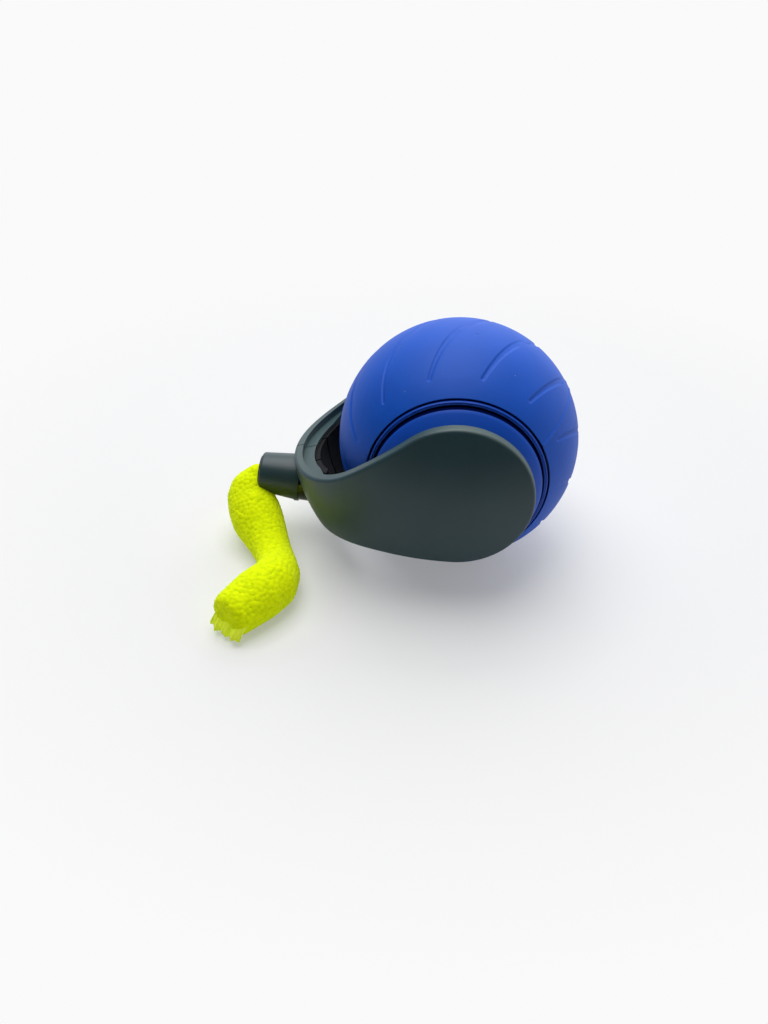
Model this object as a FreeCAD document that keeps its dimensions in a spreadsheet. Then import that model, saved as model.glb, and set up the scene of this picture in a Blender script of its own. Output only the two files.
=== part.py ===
import FreeCAD, Part
import math
import os

import Sketcher

# Self-rolling pet ball: a ball that turns on an axle, a fork that holds the axle's ends and
# trails behind it, and a soft tail on a swivel tube at the back of the fork.
# Millimetres. X is forward, Y runs along the axle with the control side at +Y, Z is up.
# The origin is on the floor, right below the middle of the ball. Pieces are drawn round the
# middle of the ball and then lifted by its radius.

os.makedirs("parts", exist_ok=True)
doc = FreeCAD.newDocument("pet_ball")
sheet = doc.addObject("Spreadsheet::Sheet", "Sizes")
nodes = {}
rows = []


class Size:
    """A number, with the sheet expression that gives it."""

    def __init__(self, value, text):
        self.value = float(value)
        self.text = text

    def __add__(self, other):
        other = sized(other)
        return Size(self.value + other.value, "(%s + %s)" % (self.text, other.text))

    def __sub__(self, other):
        other = sized(other)
        return Size(self.value - other.value, "(%s - %s)" % (self.text, other.text))

    def __mul__(self, other):
        other = sized(other)
        return Size(self.value * other.value, "(%s * %s)" % (self.text, other.text))

    def __truediv__(self, other):
        other = sized(other)
        return Size(self.value / other.value, "(%s / %s)" % (self.text, other.text))

    def __neg__(self):
        return Size(-self.value, "(0 - %s)" % self.text)

    def __radd__(self, other):
        return sized(other) + self

    def __rsub__(self, other):
        return sized(other) - self

    def __rmul__(self, other):
        return sized(other) * self

    def __rtruediv__(self, other):
        return sized(other) / self


def sized(value):
    return value if isinstance(value, Size) else Size(value, "(%.6f)" % value)


def root(value):
    return Size(math.sqrt(value.value), "sqrt(%s)" % value.text)


def cosine(angle):
    return Size(math.cos(math.radians(angle.value)), "cos(%s)" % angle.text)


def sine(angle):
    return Size(math.sin(math.radians(angle.value)), "sin(%s)" % angle.text)


def side_of(hypotenuse, other_side):
    """The other short side of a right triangle."""
    hypotenuse = sized(hypotenuse)
    other_side = sized(other_side)
    return root(hypotenuse * hypotenuse - other_side * other_side)


def size(alias, value):
    row = len(rows) + 1
    rows.append(alias)
    sheet.set("A%d" % row, alias)
    sheet.set("B%d" % row, str(value))
    sheet.setAlias("B%d" % row, alias)
    return Size(value, "Sizes." + alias)


# Ball skin, seen from outside
ball_radius = size("ball_radius", 35.0)
sleeve_thickness = size("sleeve_thickness", 2.0)
sleeve_end_radius = size("sleeve_end_radius", 24.6)
sleeve_end_chamfer = size("sleeve_end_chamfer", 0.4)
tread_marks = size("tread_marks", 13)
tread_depth = size("tread_depth", 0.45)
tread_length = size("tread_length", 25.7)
tread_bow = size("tread_bow", 1.4)
tread_narrow_end = size("tread_narrow_end", 1.1)
tread_wide_end = size("tread_wide_end", 2.5)
tread_polar = size("tread_polar", 75.0)
tread_slant = size("tread_slant", -26.6)
tread_start = size("tread_start", 95.8)
tread_reach = size("tread_reach", 5.0)

# Hard shell, hubs and axle ends
skin_gap = size("skin_gap", 0.05)
shell_wall = size("shell_wall", 2.0)
shell_lap = size("shell_lap", 1.5)
hub_seat = size("hub_seat", 20.6)
hub_opening_radius = size("hub_opening_radius", 21.7)
hub_radius = size("hub_radius", 23.0)
hub_flange = size("hub_flange", 0.9)
hub_edge_height = size("hub_edge_height", 26.6)
hub_height = size("hub_height", 28.4)
hub_flat_radius = size("hub_flat_radius", 12.0)
hub_wall = size("hub_wall", 1.8)
clamp_ring_inner = size("clamp_ring_inner", 23.2)
clamp_ring_height = size("clamp_ring_height", 25.2)
clamp_ring_gap = size("clamp_ring_gap", 0.15)
clamp_ring_drop = size("clamp_ring_drop", 0.3)
clamp_ring_centre_drop = size("clamp_ring_centre_drop", 0.4)
hub_step = size("hub_step", 0.3)
hub_edge = size("hub_edge", 0.6)
hub_screw_sink = size("hub_screw_sink", 0.4)
fit_gap = size("fit_gap", 0.05)
bush_wall = size("bush_wall", 1.3)
bush_length = size("bush_length", 5.8)
near_spigot_radius = size("near_spigot_radius", 9.0)
far_spigot_radius = size("far_spigot_radius", 13.0)
spigot_wall = size("spigot_wall", 1.6)

# Fork: two arms that meet behind the ball
fork_half_width = size("fork_half_width", 36.8)
fork_reach = size("fork_reach", 49.0)
fork_face_radius = size("fork_face_radius", 68.0)
fork_wall = size("fork_wall", 2.6)
fork_head_radius = size("fork_head_radius", 20.8)
fork_neck_slope = size("fork_neck_slope", 38.0)
fork_rim_radius = size("fork_rim_radius", 46.0)
fork_rim_drop = size("fork_rim_drop", 6.0)
fork_belly_start = size("fork_belly_start", 17.0)
fork_belly_radius = size("fork_belly_radius", 92.0)
fork_edge_round = size("fork_edge_round", 1.1)
ledge_depth = size("ledge_depth", 3.4)
ledge_drop = size("ledge_drop", 2.0)
ledge_spread = size("ledge_spread", 50.0)
ledge_fade = size("ledge_fade", 20.0)
seam_lap = size("seam_lap", 1.6)
seam_gap = size("seam_gap", 0.3)
liner_thickness = size("liner_thickness", 1.6)
liner_drop = size("liner_drop", 2.8)
liner_spread = size("liner_spread", 38.0)
liner_rise = size("liner_rise", 1.2)
liner_seam = size("liner_seam", 0.6)
liner_fade = size("liner_fade", 4.0)
wedge_top = size("wedge_top", 6.5)
wedge_bottom = size("wedge_bottom", 2.4)
wedge_height = size("wedge_height", 22.0)
boss_wall = size("boss_wall", 1.9)
boss_end = size("boss_end", 29.4)

# Swivel, tail tube and tail
swivel_back = size("swivel_back", 47.45)
swivel_drop = size("swivel_drop", 16.4)
swivel_tilt = size("swivel_tilt", 6.5)
collar_radius = size("collar_radius", 7.0)
collar_gap = size("collar_gap", 0.15)
spindle_radius = size("spindle_radius", 2.2)
spindle_head_radius = size("spindle_head_radius", 3.4)
spindle_head_depth = size("spindle_head_depth", 5.1)
spindle_head_height = size("spindle_head_height", 1.2)
spindle_reach = size("spindle_reach", 16.0)
spindle_tip = size("spindle_tip", 0.5)
tube_length = size("tube_length", 12.6)
tube_base_radius = size("tube_base_radius", 7.45)
tube_seat_gap = size("tube_seat_gap", 0.3)
tube_mouth_radius = size("tube_mouth_radius", 6.15)
tube_step = size("tube_step", 0.25)
tube_step_length = size("tube_step_length", 1.2)
tube_bore_radius = size("tube_bore_radius", 4.9)
tube_web = size("tube_web", 3.0)
tube_mouth_round = size("tube_mouth_round", 1.0)
nut_radius = size("nut_radius", 4.0)
nut_height = size("nut_height", 1.9)
plug_length = size("plug_length", 5.6)
tail_gap = size("tail_gap", 0.3)

# Gears
gear_module = size("gear_module", 0.6)
ring_teeth = size("ring_teeth", 66)
idler_small_teeth = size("idler_small_teeth", 12)
idler_big_teeth = size("idler_big_teeth", 32)
pinion_teeth = size("pinion_teeth", 10)
tooth_tip = size("tooth_tip", 0.48)
tooth_root = size("tooth_root", 0.66)
tooth_width = size("tooth_width", 0.70)
tooth_taper = size("tooth_taper", 0.36)
tooth_bite = size("tooth_bite", 0.15)
idler_angle = size("idler_angle", -40.0)
motor_angle = size("motor_angle", 192.0)
ring_rim = size("ring_rim", 1.0)
ring_face = size("ring_face", 3.4)
ring_plate = size("ring_plate", 1.6)
ring_plate_hole = size("ring_plate_hole", 12.5)
ring_low = size("ring_low", 17.2)
big_gear_low = size("big_gear_low", 11.0)
big_gear_width = size("big_gear_width", 2.6)
idler_hub_radius = size("idler_hub_radius", 2.3)
idler_end_gap = size("idler_end_gap", 0.3)
gear_pin_radius = size("gear_pin_radius", 1.0)
ring_post_radius = size("ring_post_radius", 2.2)
ring_post_end = size("ring_post_end", 25.3)
hub_screw_circle = size("hub_screw_circle", 16.5)

# Chassis, motor, cell and boards
motor_plate_low = size("motor_plate_low", 8.5)
motor_plate_wall = size("motor_plate_wall", 2.0)
motor_plate_radius = size("motor_plate_radius", 26.0)
gearbox_low = size("gearbox_low", 14.5)
gearbox_wall = size("gearbox_wall", 2.0)
gearbox_radius = size("gearbox_radius", 24.0)
far_plate_low = size("far_plate_low", 16.0)
far_plate_wall = size("far_plate_wall", 2.0)
far_plate_radius = size("far_plate_radius", 23.5)
far_plate_hole = size("far_plate_hole", 8.0)
tray_half_width = size("tray_half_width", 12.0)
tray_wall = size("tray_wall", 1.2)
post_circle = size("post_circle", 21.5)
post_radius = size("post_radius", 2.3)
motor_radius = size("motor_radius", 8.0)
motor_length = size("motor_length", 20.0)
motor_cap_length = size("motor_cap_length", 2.0)
motor_cap_step = size("motor_cap_step", 0.5)
motor_boss_radius = size("motor_boss_radius", 2.7)
motor_boss_height = size("motor_boss_height", 0.8)
shaft_clearance = size("shaft_clearance", 0.6)
idler_clearance = size("idler_clearance", 0.3)
motor_tray_gap = size("motor_tray_gap", 0.2)
shaft_sink = size("shaft_sink", 4.3)
cell_width = size("cell_width", 8.0)
cell_length = size("cell_length", 20.0)
cell_height = size("cell_height", 21.0)
cell_front = size("cell_front", 11.0)
cell_top = size("cell_top", 6.0)
shelf_wall = size("shelf_wall", 1.2)
board_bottom = size("board_bottom", 8.0)
board_wall = size("board_wall", 1.6)
board_front = size("board_front", 18.0)
board_back = size("board_back", 16.0)
board_length = size("board_length", 22.0)
rail_outside = size("rail_outside", 14.0)
rail_width = size("rail_width", 2.0)
rail_height = size("rail_height", 1.5)
board_gap = size("board_gap", 0.5)
chip_side = size("chip_side", 5.0)
chip_height = size("chip_height", 1.1)
chip_spread = size("chip_spread", 6.0)
sensor_side = size("sensor_side", 3.0)
sensor_height = size("sensor_height", 1.6)
weight_half_width = size("weight_half_width", 13.0)
weight_low_y = size("weight_low_y", -7.0)
weight_high_y = size("weight_high_y", 13.0)
weight_clearance = size("weight_clearance", 1.0)

# Controls on the far arm
disc_radius = size("disc_radius", 15.0)
disc_thickness = size("disc_thickness", 1.2)
disc_gap = size("disc_gap", 0.1)
far_opening_radius = size("far_opening_radius", 11.2)
far_spigot_end = size("far_spigot_end", 33.1)
far_flange_radius = size("far_flange_radius", 17.0)
far_flange_wall = size("far_flange_wall", 1.6)
switch_board_low = size("switch_board_low", 26.1)
switch_board_wall = size("switch_board_wall", 1.2)
switch_board_ledge = size("switch_board_ledge", 1.2)
switch_side = size("switch_side", 6.0)
switch_height = size("switch_height", 3.5)
button_radius = size("button_radius", 4.0)
button_flange = size("button_flange", 1.0)
button_flange_wall = size("button_flange_wall", 0.8)
button_stem_radius = size("button_stem_radius", 2.0)
button_proud = size("button_proud", 0.3)
button_travel = size("button_travel", 0.5)
button_play = size("button_play", 0.1)
port_drop = size("port_drop", 8.0)
port_width = size("port_width", 10.0)
port_height = size("port_height", 4.4)
socket_width = size("socket_width", 8.94)
socket_height = size("socket_height", 3.26)
socket_length = size("socket_length", 7.3)
socket_wall = size("socket_wall", 0.3)
socket_depth = size("socket_depth", 6.0)
tongue_width = size("tongue_width", 6.7)
tongue_height = size("tongue_height", 0.7)
tongue_length = size("tongue_length", 4.4)
plug_tongue = size("plug_tongue", 1.0)
lens_radius = size("lens_radius", 1.0)
lens_place = size("lens_place", 9.0)
lens_length = size("lens_length", 2.0)

# Screws
screw_radius = size("screw_radius", 0.8)
screw_head_radius = size("screw_head_radius", 1.5)
screw_head_height = size("screw_head_height", 0.9)
screw_slot = size("screw_slot", 0.4)
screw_gap = size("screw_gap", 0.05)
hub_screw_length = size("hub_screw_length", 4.2)
motor_screw_length = size("motor_screw_length", 3.6)
motor_screw_circle = size("motor_screw_circle", 5.0)
flange_circle = size("flange_circle", 15.0)
arm_screw_circle = size("arm_screw_circle", 12.25)
arm_screw_bite = size("arm_screw_bite", 1.6)
post_screw_bite = size("post_screw_bite", 3.6)
arm_screw_seat = size("arm_screw_seat", 33.8)
slot_share = size("slot_share", 0.7)
small_screw_radius = size("small_screw_radius", 0.5)
small_head_radius = size("small_head_radius", 0.95)
small_head_height = size("small_head_height", 0.55)
small_screw_bite = size("small_screw_bite", 2.8)
screw_end_gap = size("screw_end_gap", 0.2)
post_hole_margin = size("post_hole_margin", 0.6)
doc.recompute()


def bind(thing, prop, value):
    """Tie one property of an object to the sheet."""
    thing.setExpression(prop, sized(value).text)


def to(x, y):
    """A profile corner that a straight edge leads to."""
    return sized(x), sized(y), None, None, 0


def arc(x, y, centre_x, centre_y, turn=0):
    """A profile corner that an arc leads to; turn is +1 or -1 only for a half circle."""
    return sized(x), sized(y), sized(centre_x), sized(centre_y), turn


def flipped(steps, side):
    """The same profile on the near side (-1) or on the far side (+1)."""
    if side > 0:
        return steps
    turned_steps = []
    for x, y, centre_x, centre_y, turn in steps:
        turned_steps.append((x, -y, centre_x, centre_y and -centre_y, -turn))
    return turned_steps


def outline(sketch, steps):
    """Draw a closed profile and pin every corner to the sheet."""
    edges = []
    for index, step in enumerate(steps):
        before = steps[index - 1]
        start = FreeCAD.Vector(before[0].value, before[1].value, 0)
        end = FreeCAD.Vector(step[0].value, step[1].value, 0)
        if step[2] is None:
            edges.append((sketch.addGeometry(Part.LineSegment(start, end), False), 1, 2, before, step))
            continue
        centre = FreeCAD.Vector(step[2].value, step[3].value, 0)
        left = step[4] or (start - centre).cross(end - centre).z
        first, last = (start, end) if left > 0 else (end, start)
        circle = Part.Circle(centre, FreeCAD.Vector(0, 0, 1), (start - centre).Length)
        low = math.atan2(first.y - centre.y, first.x - centre.x)
        high = math.atan2(last.y - centre.y, last.x - centre.x)
        if high <= low:
            high += 2 * math.pi
        curve = sketch.addGeometry(Part.ArcOfCircle(circle, low, high), False)
        edges.append((curve, 1, 2, before, step) if left > 0 else (curve, 2, 1, before, step))
    for index, edge in enumerate(edges):
        following = edges[(index + 1) % len(edges)]
        sketch.addConstraint(Sketcher.Constraint("Coincident", edge[0], edge[2], following[0], following[1]))
    for curve, start_point, end_point, before, step in edges:
        pin(sketch, "DistanceX", curve, start_point, before[0])
        pin(sketch, "DistanceY", curve, start_point, before[1])
        if step[2] is None:
            continue
        if abs(step[0].value - before[0].value) < abs(step[1].value - before[1].value):
            pin(sketch, "DistanceX", curve, 3, step[2])
        else:
            pin(sketch, "DistanceY", curve, 3, step[3])


def pin(sketch, direction, curve, point, value):
    index = sketch.addConstraint(Sketcher.Constraint(direction, -1, 1, curve, point, value.value))
    sketch.setExpression("Constraints[%d]" % index, value.text)


def new_sketch(body, plane, name, steps, offset=None):
    """A sketch on one of the body's own origin planes, moved along the plane's normal."""
    sketch = body.newObject("Sketcher::SketchObject", name)
    support = [feature for feature in body.Origin.OriginFeatures if feature.Role == plane][0]
    sketch.AttachmentSupport = [(support, "")]
    sketch.MapMode = "FlatFace"
    if offset is not None:
        bind(sketch, "AttachmentOffset.Base.z", offset)
    outline(sketch, steps)
    return sketch


def new_body(name):
    return doc.addObject("PartDesign::Body", name)


def revolve(body, name, steps, plane="XY_Plane"):
    """Turn a profile of (distance from the axis, place along it) into the body."""
    sketch = new_sketch(body, plane, name + "_profile", steps)
    feature = body.newObject("PartDesign::Revolution", name)
    feature.Profile = sketch
    feature.ReferenceAxis = (sketch, ["V_Axis"])
    feature.Angle = 360
    return feature


def pad(body, name, steps, low, high):
    """Fill an (x, z) outline from y = low to y = high."""
    sketch = new_sketch(body, "XZ_Plane", name + "_outline", steps, -sized(high))
    feature = body.newObject("PartDesign::Pad", name)
    feature.Profile = sketch
    bind(feature, "Length", sized(high) - low)
    return feature


def pocket(body, name, steps, low, high):
    """Cut an (x, z) outline from y = low to y = high."""
    sketch = new_sketch(body, "XZ_Plane", name + "_outline", steps, -sized(low))
    feature = body.newObject("PartDesign::Pocket", name)
    feature.Profile = sketch
    bind(feature, "Length", sized(high) - low)
    return feature


def polar(body, name, feature, count):
    """Repeat a feature round the body's Y axis."""
    pattern = body.newObject("PartDesign::PolarPattern", name)
    pattern.Originals = [feature]
    axis = [item for item in body.Origin.OriginFeatures if item.Role == "Y_Axis"][0]
    pattern.Axis = (axis, [""])
    pattern.Angle = 360
    bind(pattern, "Occurrences", count)
    body.Tip = pattern
    return pattern


def rod(name, radius, low, high, x=0, z=0):
    """A round bar along Y."""
    thing = doc.addObject("Part::Cylinder", name)
    bind(thing, "Radius", radius)
    bind(thing, "Height", sized(high) - low)
    thing.Placement = FreeCAD.Placement(FreeCAD.Vector(), FreeCAD.Rotation(FreeCAD.Vector(1, 0, 0), -90))
    bind(thing, "Placement.Base.x", x)
    bind(thing, "Placement.Base.y", low)
    bind(thing, "Placement.Base.z", z)
    return thing


def swivel_rod(name, radius, low, high):
    """A round bar on the swivel axis, measured from the collar's end towards the tail."""
    thing = doc.addObject("Part::Cylinder", name)
    bind(thing, "Radius", radius)
    bind(thing, "Height", sized(high) - low)
    return on_swivel(thing, low)


def block(name, x, y, z):
    """A box between (low, high) pairs along X, Y and Z."""
    thing = doc.addObject("Part::Box", name)
    for axis, prop, pair in (("x", "Length", x), ("y", "Width", y), ("z", "Height", z)):
        bind(thing, prop, sized(pair[1]) - pair[0])
        bind(thing, "Placement.Base." + axis, pair[0])
    return thing


def fuse(name, pieces):
    thing = doc.addObject("Part::MultiFuse", name)
    thing.Shapes = pieces
    return thing


def cut(name, base, tools):
    """The base without the tools."""
    thing = doc.addObject("Part::Cut", name)
    thing.Base = base
    thing.Tool = tools[0] if len(tools) == 1 else fuse(name + "_tools", tools)
    return thing


def keep(name, thing, rise=0):
    """Name a finished piece and lift it; its rise is its own place above the ball's middle."""
    thing.Label = name
    bind(thing, "Placement.Base.z", ball_radius + rise)
    nodes[name] = thing
    return thing


def on_swivel(thing, along=0):
    """Lay a piece drawn along its own Z on the swivel axis, pointing to the tail."""
    thing.Placement = FreeCAD.Placement(FreeCAD.Vector(), FreeCAD.Rotation(FreeCAD.Vector(0, 1, 0), -80))
    bind(thing, "Placement.Rotation.Angle", swivel_tilt - 90)
    bind(thing, "Placement.Base.x", -swivel_back - along * cosine(swivel_tilt))
    bind(thing, "Placement.Base.z", along * sine(swivel_tilt) - swivel_drop)
    return thing


def screws(name, places, inner, outer, kind):
    """Identical screws along Y: the head's top at y = outer, the shank's end at y = inner."""
    shank_radius, head_radius, head_height = kind
    side = 1 if outer.value > inner.value else -1
    under_head = outer - head_height * side
    made = []
    for index, (x, z) in enumerate(places):
        label = "%s_%d" % (name, index + 1)
        head_y = (under_head, outer)[::side]
        shank_y = (inner, under_head)[::side]
        slot_y = (outer - screw_slot * side, outer)[::side]
        slot_z = (sized(z) - screw_slot / 2, sized(z) + screw_slot / 2)
        slot_x = (sized(x) - head_radius * slot_share, sized(x) + head_radius * slot_share)
        head = rod(label + "_head", head_radius, head_y[0], head_y[1], x, z)
        shank = rod(label + "_shank", shank_radius, shank_y[0], shank_y[1], x, z)
        slot = block(label + "_slot", slot_x, slot_y, slot_z)
        made.append(cut(label, fuse(label + "_blank", [head, shank]), [slot]))
    group = doc.addObject("Part::Compound", name)
    group.Links = made
    return keep(name, group)


screw_space = screw_radius + screw_gap
head_space = screw_head_radius + screw_gap
small_screw_space = small_screw_radius + screw_gap
case_screw = (screw_radius, screw_head_radius, screw_head_height)
small_screw = (small_screw_radius, small_head_radius, small_head_height)


def around(radius, angle):
    """The (x, z) place at an angle round the axle, from forward to up."""
    angle = sized(angle)
    return radius * cosine(angle), radius * sine(angle)


# Places that several pieces share
shell_radius = ball_radius - sleeve_thickness - skin_gap
shell_inner = shell_radius - shell_wall
clamp_ring_outer = sleeve_end_radius - clamp_ring_gap
fork_back_radius = (
    fork_face_radius * fork_face_radius
    - fork_reach * fork_reach
    - (fork_face_radius - fork_half_width) * (fork_face_radius - fork_half_width)
) / (2 * (fork_face_radius - fork_reach))
face_centre = fork_half_width - fork_face_radius
back_centre = fork_reach - fork_back_radius
ring_outer = gear_module * ring_teeth / 2 + tooth_root + ring_rim
ring_high = ring_low + ring_face + ring_plate
big_gear_high = big_gear_low + big_gear_width
small_gear_high = ring_low + ring_face - idler_end_gap
idler_distance = gear_module * (ring_teeth - idler_small_teeth) / 2
motor_distance = gear_module * (idler_big_teeth + pinion_teeth) / 2
idler_x, idler_z = around(idler_distance, idler_angle)
motor_x = idler_x + motor_distance * cosine(motor_angle)
motor_z = idler_z + motor_distance * sine(motor_angle)
tray_top = motor_z - motor_radius - motor_tray_gap
motor_plate_high = motor_plate_low + motor_plate_wall
gearbox_high = gearbox_low + gearbox_wall
far_plate_high = far_plate_low + far_plate_wall
near_spigot_end = fork_half_width - fork_wall - disc_gap
near_bush_outer = near_spigot_radius + fit_gap + bush_wall
far_bush_outer = far_spigot_radius + fit_gap + bush_wall
hub_arc_radius = (
    (hub_radius - hub_step - hub_flat_radius) * (hub_radius - hub_step - hub_flat_radius)
    + (hub_height - hub_edge_height) * (hub_height - hub_edge_height)
) / (2 * (hub_height - hub_edge_height))
post_places = [around(post_circle, angle) for angle in (20, 90, 150, 240)]


def face_height(radius, inset=0):
    """How far out the fork's face lies at a distance from the axle, or a surface inside it."""
    return face_centre + side_of(fork_face_radius - inset, radius)


def tangent_point(inset):
    """Where the fork's face arc runs into its back arc, on a surface inside the outer one."""
    reach = (fork_face_radius - inset) / (fork_face_radius - fork_back_radius)
    return reach * back_centre, face_centre - reach * face_centre


def back_point(inset, angle):
    """A point of the fork's back arc, at an angle from straight back towards the arm."""
    radius = fork_back_radius - inset
    return back_centre + radius * cosine(angle), radius * sine(angle)


def tread_outline():
    """A curved mark with round ends, in its own plane: +x along the ball's axle to the middle."""
    half = tread_length / 2
    radius = (half * half + tread_bow * tread_bow) / (2 * tread_bow)
    centre_y = tread_bow - radius

    def turned_corner(x, y):
        turned_x = x * cosine(tread_slant) - y * sine(tread_slant)
        return turned_x, x * sine(tread_slant) + y * cosine(tread_slant)

    start_low = turned_corner(-half, -tread_narrow_end / 2)
    start_high = turned_corner(-half, tread_narrow_end / 2)
    end_low = turned_corner(half, -tread_wide_end / 2)
    end_high = turned_corner(half, tread_wide_end / 2)
    start_middle = turned_corner(-half, sized(0))
    end_middle = turned_corner(half, sized(0))
    bow_centre = turned_corner(sized(0), centre_y)
    return [
        arc(start_high[0], start_high[1], start_middle[0], start_middle[1], -1),
        arc(end_high[0], end_high[1], bow_centre[0], bow_centre[1]),
        arc(end_low[0], end_low[1], end_middle[0], end_middle[1], -1),
        arc(start_low[0], start_low[1], bow_centre[0], bow_centre[1]),
    ]


def make_sleeve():
    """Rubber sleeve: an outer skin with the tread marks cut through it, on a plain inner skin."""
    body = new_body("sleeve")
    middle = ball_radius - tread_depth
    inner = ball_radius - sleeve_thickness
    chamfer_height = side_of(ball_radius, sleeve_end_radius + sleeve_end_chamfer)
    outer_end = side_of(ball_radius, sleeve_end_radius) - sleeve_end_chamfer
    middle_end = side_of(middle, sleeve_end_radius)
    inner_end = side_of(inner, sleeve_end_radius)
    outer_skin = revolve(body, "outer_skin", [
        to(sleeve_end_radius + sleeve_end_chamfer, -chamfer_height),
        arc(sleeve_end_radius + sleeve_end_chamfer, chamfer_height, 0, 0, 1),
        to(sleeve_end_radius, outer_end),
        to(sleeve_end_radius, middle_end),
        arc(sleeve_end_radius, -middle_end, 0, 0, -1),
        to(sleeve_end_radius, -outer_end),
    ])
    doc.recompute()
    for name, side, tilt in (("near_tread", -1, tread_polar - 90), ("far_tread", 1, tread_polar + 90)):
        sketch = new_sketch(body, "YZ_Plane", name + "_outline", flipped(tread_outline(), -side))
        sketch.AttachmentOffset = FreeCAD.Placement(
            FreeCAD.Vector(), FreeCAD.Rotation(FreeCAD.Vector(0, 1, 0), tilt.value))
        bind(sketch, "AttachmentOffset.Rotation.Angle", tilt)
        bind(sketch, "AttachmentOffset.Base.x", (ball_radius + 1) * cosine(tread_polar) * side)
        bind(sketch, "AttachmentOffset.Base.z", (ball_radius + 1) * sine(tread_polar) * -side)
        mark = body.newObject("PartDesign::Pocket", name)
        mark.Profile = sketch
        bind(mark, "Length", tread_reach)
        doc.recompute()
        polar(body, name + "s", mark, tread_marks)
        doc.recompute()
    revolve(body, "inner_skin", [
        to(sleeve_end_radius, -middle_end),
        arc(sleeve_end_radius, middle_end, 0, 0, 1),
        to(sleeve_end_radius, inner_end),
        arc(sleeve_end_radius, -inner_end, 0, 0, -1),
    ])
    body.Placement = FreeCAD.Placement(FreeCAD.Vector(), FreeCAD.Rotation(FreeCAD.Vector(0, -1, 0), 90))
    bind(body, "Placement.Rotation.Angle", tread_start)
    keep("tread_sleeve", body)


def make_shells():
    """Two hard half shells that lap at the middle, each with a seat for its hub."""
    seat_edge = side_of(shell_radius, hub_seat)
    seat_low = hub_seat - shell_wall
    seat_inner = side_of(shell_inner, seat_low)
    half_wall = shell_inner + shell_wall / 2
    seat = [
        arc(seat_edge, hub_seat, 0, 0),
        to(hub_opening_radius, hub_seat),
        to(hub_opening_radius, seat_low),
        to(seat_inner, seat_low),
    ]
    tongue = [
        arc(shell_inner, 0, 0, 0),
        to(shell_inner, -shell_lap),
        to(half_wall - skin_gap, -shell_lap),
        to(half_wall - skin_gap, 0),
        to(shell_radius, 0),
    ]
    groove = [
        arc(side_of(shell_inner, shell_lap), shell_lap, 0, 0),
        to(half_wall, shell_lap),
        to(half_wall, 0),
        to(shell_radius, 0),
    ]
    for name, side, edge in (("near_shell", -1, tongue), ("far_shell", 1, groove)):
        body = new_body(name + "_body")
        revolve(body, name + "_turn", flipped(seat + edge, side))
        keep(name, body)


def make_hub(name, side, bush_radius):
    """A dished hub disc, held down by a clamp ring and turning on the axle with a bush."""
    inner_top = hub_height - hub_wall
    collar = bush_radius + spigot_wall
    edge = hub_radius - hub_step
    body = new_body(name + "_hub_body")
    flat = [to(bush_radius, hub_height)] if bush_radius.value < hub_flat_radius.value else []
    revolve(body, name + "_hub_turn", flipped([
        to(hub_opening_radius, hub_seat),
        to(clamp_ring_outer, hub_seat),
        to(clamp_ring_outer, hub_seat + hub_flange),
        to(hub_radius, hub_seat + hub_flange),
        to(hub_radius, hub_edge_height - hub_edge),
        to(edge, hub_edge_height),
        arc(hub_top_radius(bush_radius), hub_top(bush_radius), hub_flat_radius, hub_height - hub_arc_radius),
    ] + flat + [
        to(bush_radius, hub_height - bush_length),
        to(collar, hub_height - bush_length),
        to(collar, inner_top),
        to(hub_opening_radius, hub_edge_height - hub_wall),
    ], side))
    screw_places = [around(hub_screw_circle, angle) for angle in (45, 135, 225, 315)]
    if side < 0:
        tools = [
            rod("hub_counterbore_%d" % index, head_space, -hub_height, hub_screw_seat, x, z)
            for index, (x, z) in enumerate(screw_places)
        ]
        tools += [
            rod("hub_screw_hole_%d" % index, screw_space, -hub_height, -hub_seat, x, z)
            for index, (x, z) in enumerate(screw_places)
        ]
        body = cut(name + "_hub_drilled", body, tools)
        head = hub_screw_seat - screw_head_height
        screws("ring_gear_screws", screw_places, hub_screw_seat + hub_screw_length, head, case_screw)
    keep(name + "_hub_disc", body)
    bush = new_body(name + "_bush_body")
    revolve(bush, name + "_bush_turn", flipped([
        to(bush_radius - bush_wall, hub_height - bush_length),
        to(bush_radius - fit_gap / 2, hub_height - bush_length),
        to(bush_radius - fit_gap / 2, hub_top(bush_radius) - fit_gap),
        to(bush_radius - bush_wall, hub_top(bush_radius) - fit_gap),
    ], side))
    keep(name + "_bush", bush)


def hub_top_radius(bush_radius):
    """Where the hub's domed face ends: at its flat middle, or at a bush that is wider."""
    return hub_flat_radius if bush_radius.value < hub_flat_radius.value else bush_radius


def hub_top(bush_radius):
    """The height of the hub's face beside the bush."""
    edge = hub_top_radius(bush_radius)
    return hub_height - hub_arc_radius + side_of(hub_arc_radius, edge - hub_flat_radius)


def make_clamp_ring(name, side):
    """A ring with a rounded bead that clamps the hub and closes the sleeve's end."""
    body = new_body(name + "_body")
    middle = (clamp_ring_inner + clamp_ring_outer) / 2
    revolve(body, name + "_turn", flipped([
        to(clamp_ring_inner, hub_seat + hub_flange),
        to(clamp_ring_outer, hub_seat + hub_flange),
        to(clamp_ring_outer, clamp_ring_height - clamp_ring_drop),
        arc(clamp_ring_inner, clamp_ring_height, middle, clamp_ring_height - clamp_ring_centre_drop),
    ], side))
    keep(name, body)


def tooth_steps(pitch_radius, inward, outward, half_width, taper):
    """One tooth, or one space of an inner ring, that points along +x."""
    low = pitch_radius - inward
    high = pitch_radius + outward
    low_half = half_width + taper * inward
    high_half = half_width - taper * outward
    return [to(low, -low_half), to(high, -high_half), to(high, high_half), to(low, low_half)]


def circle_steps(radius, x=0, z=0):
    """A full circle as two half circles."""
    x = sized(x)
    z = sized(z)
    return [arc(x, z + radius, x, z, 1), arc(x, z - radius, x, z, 1)]


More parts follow.
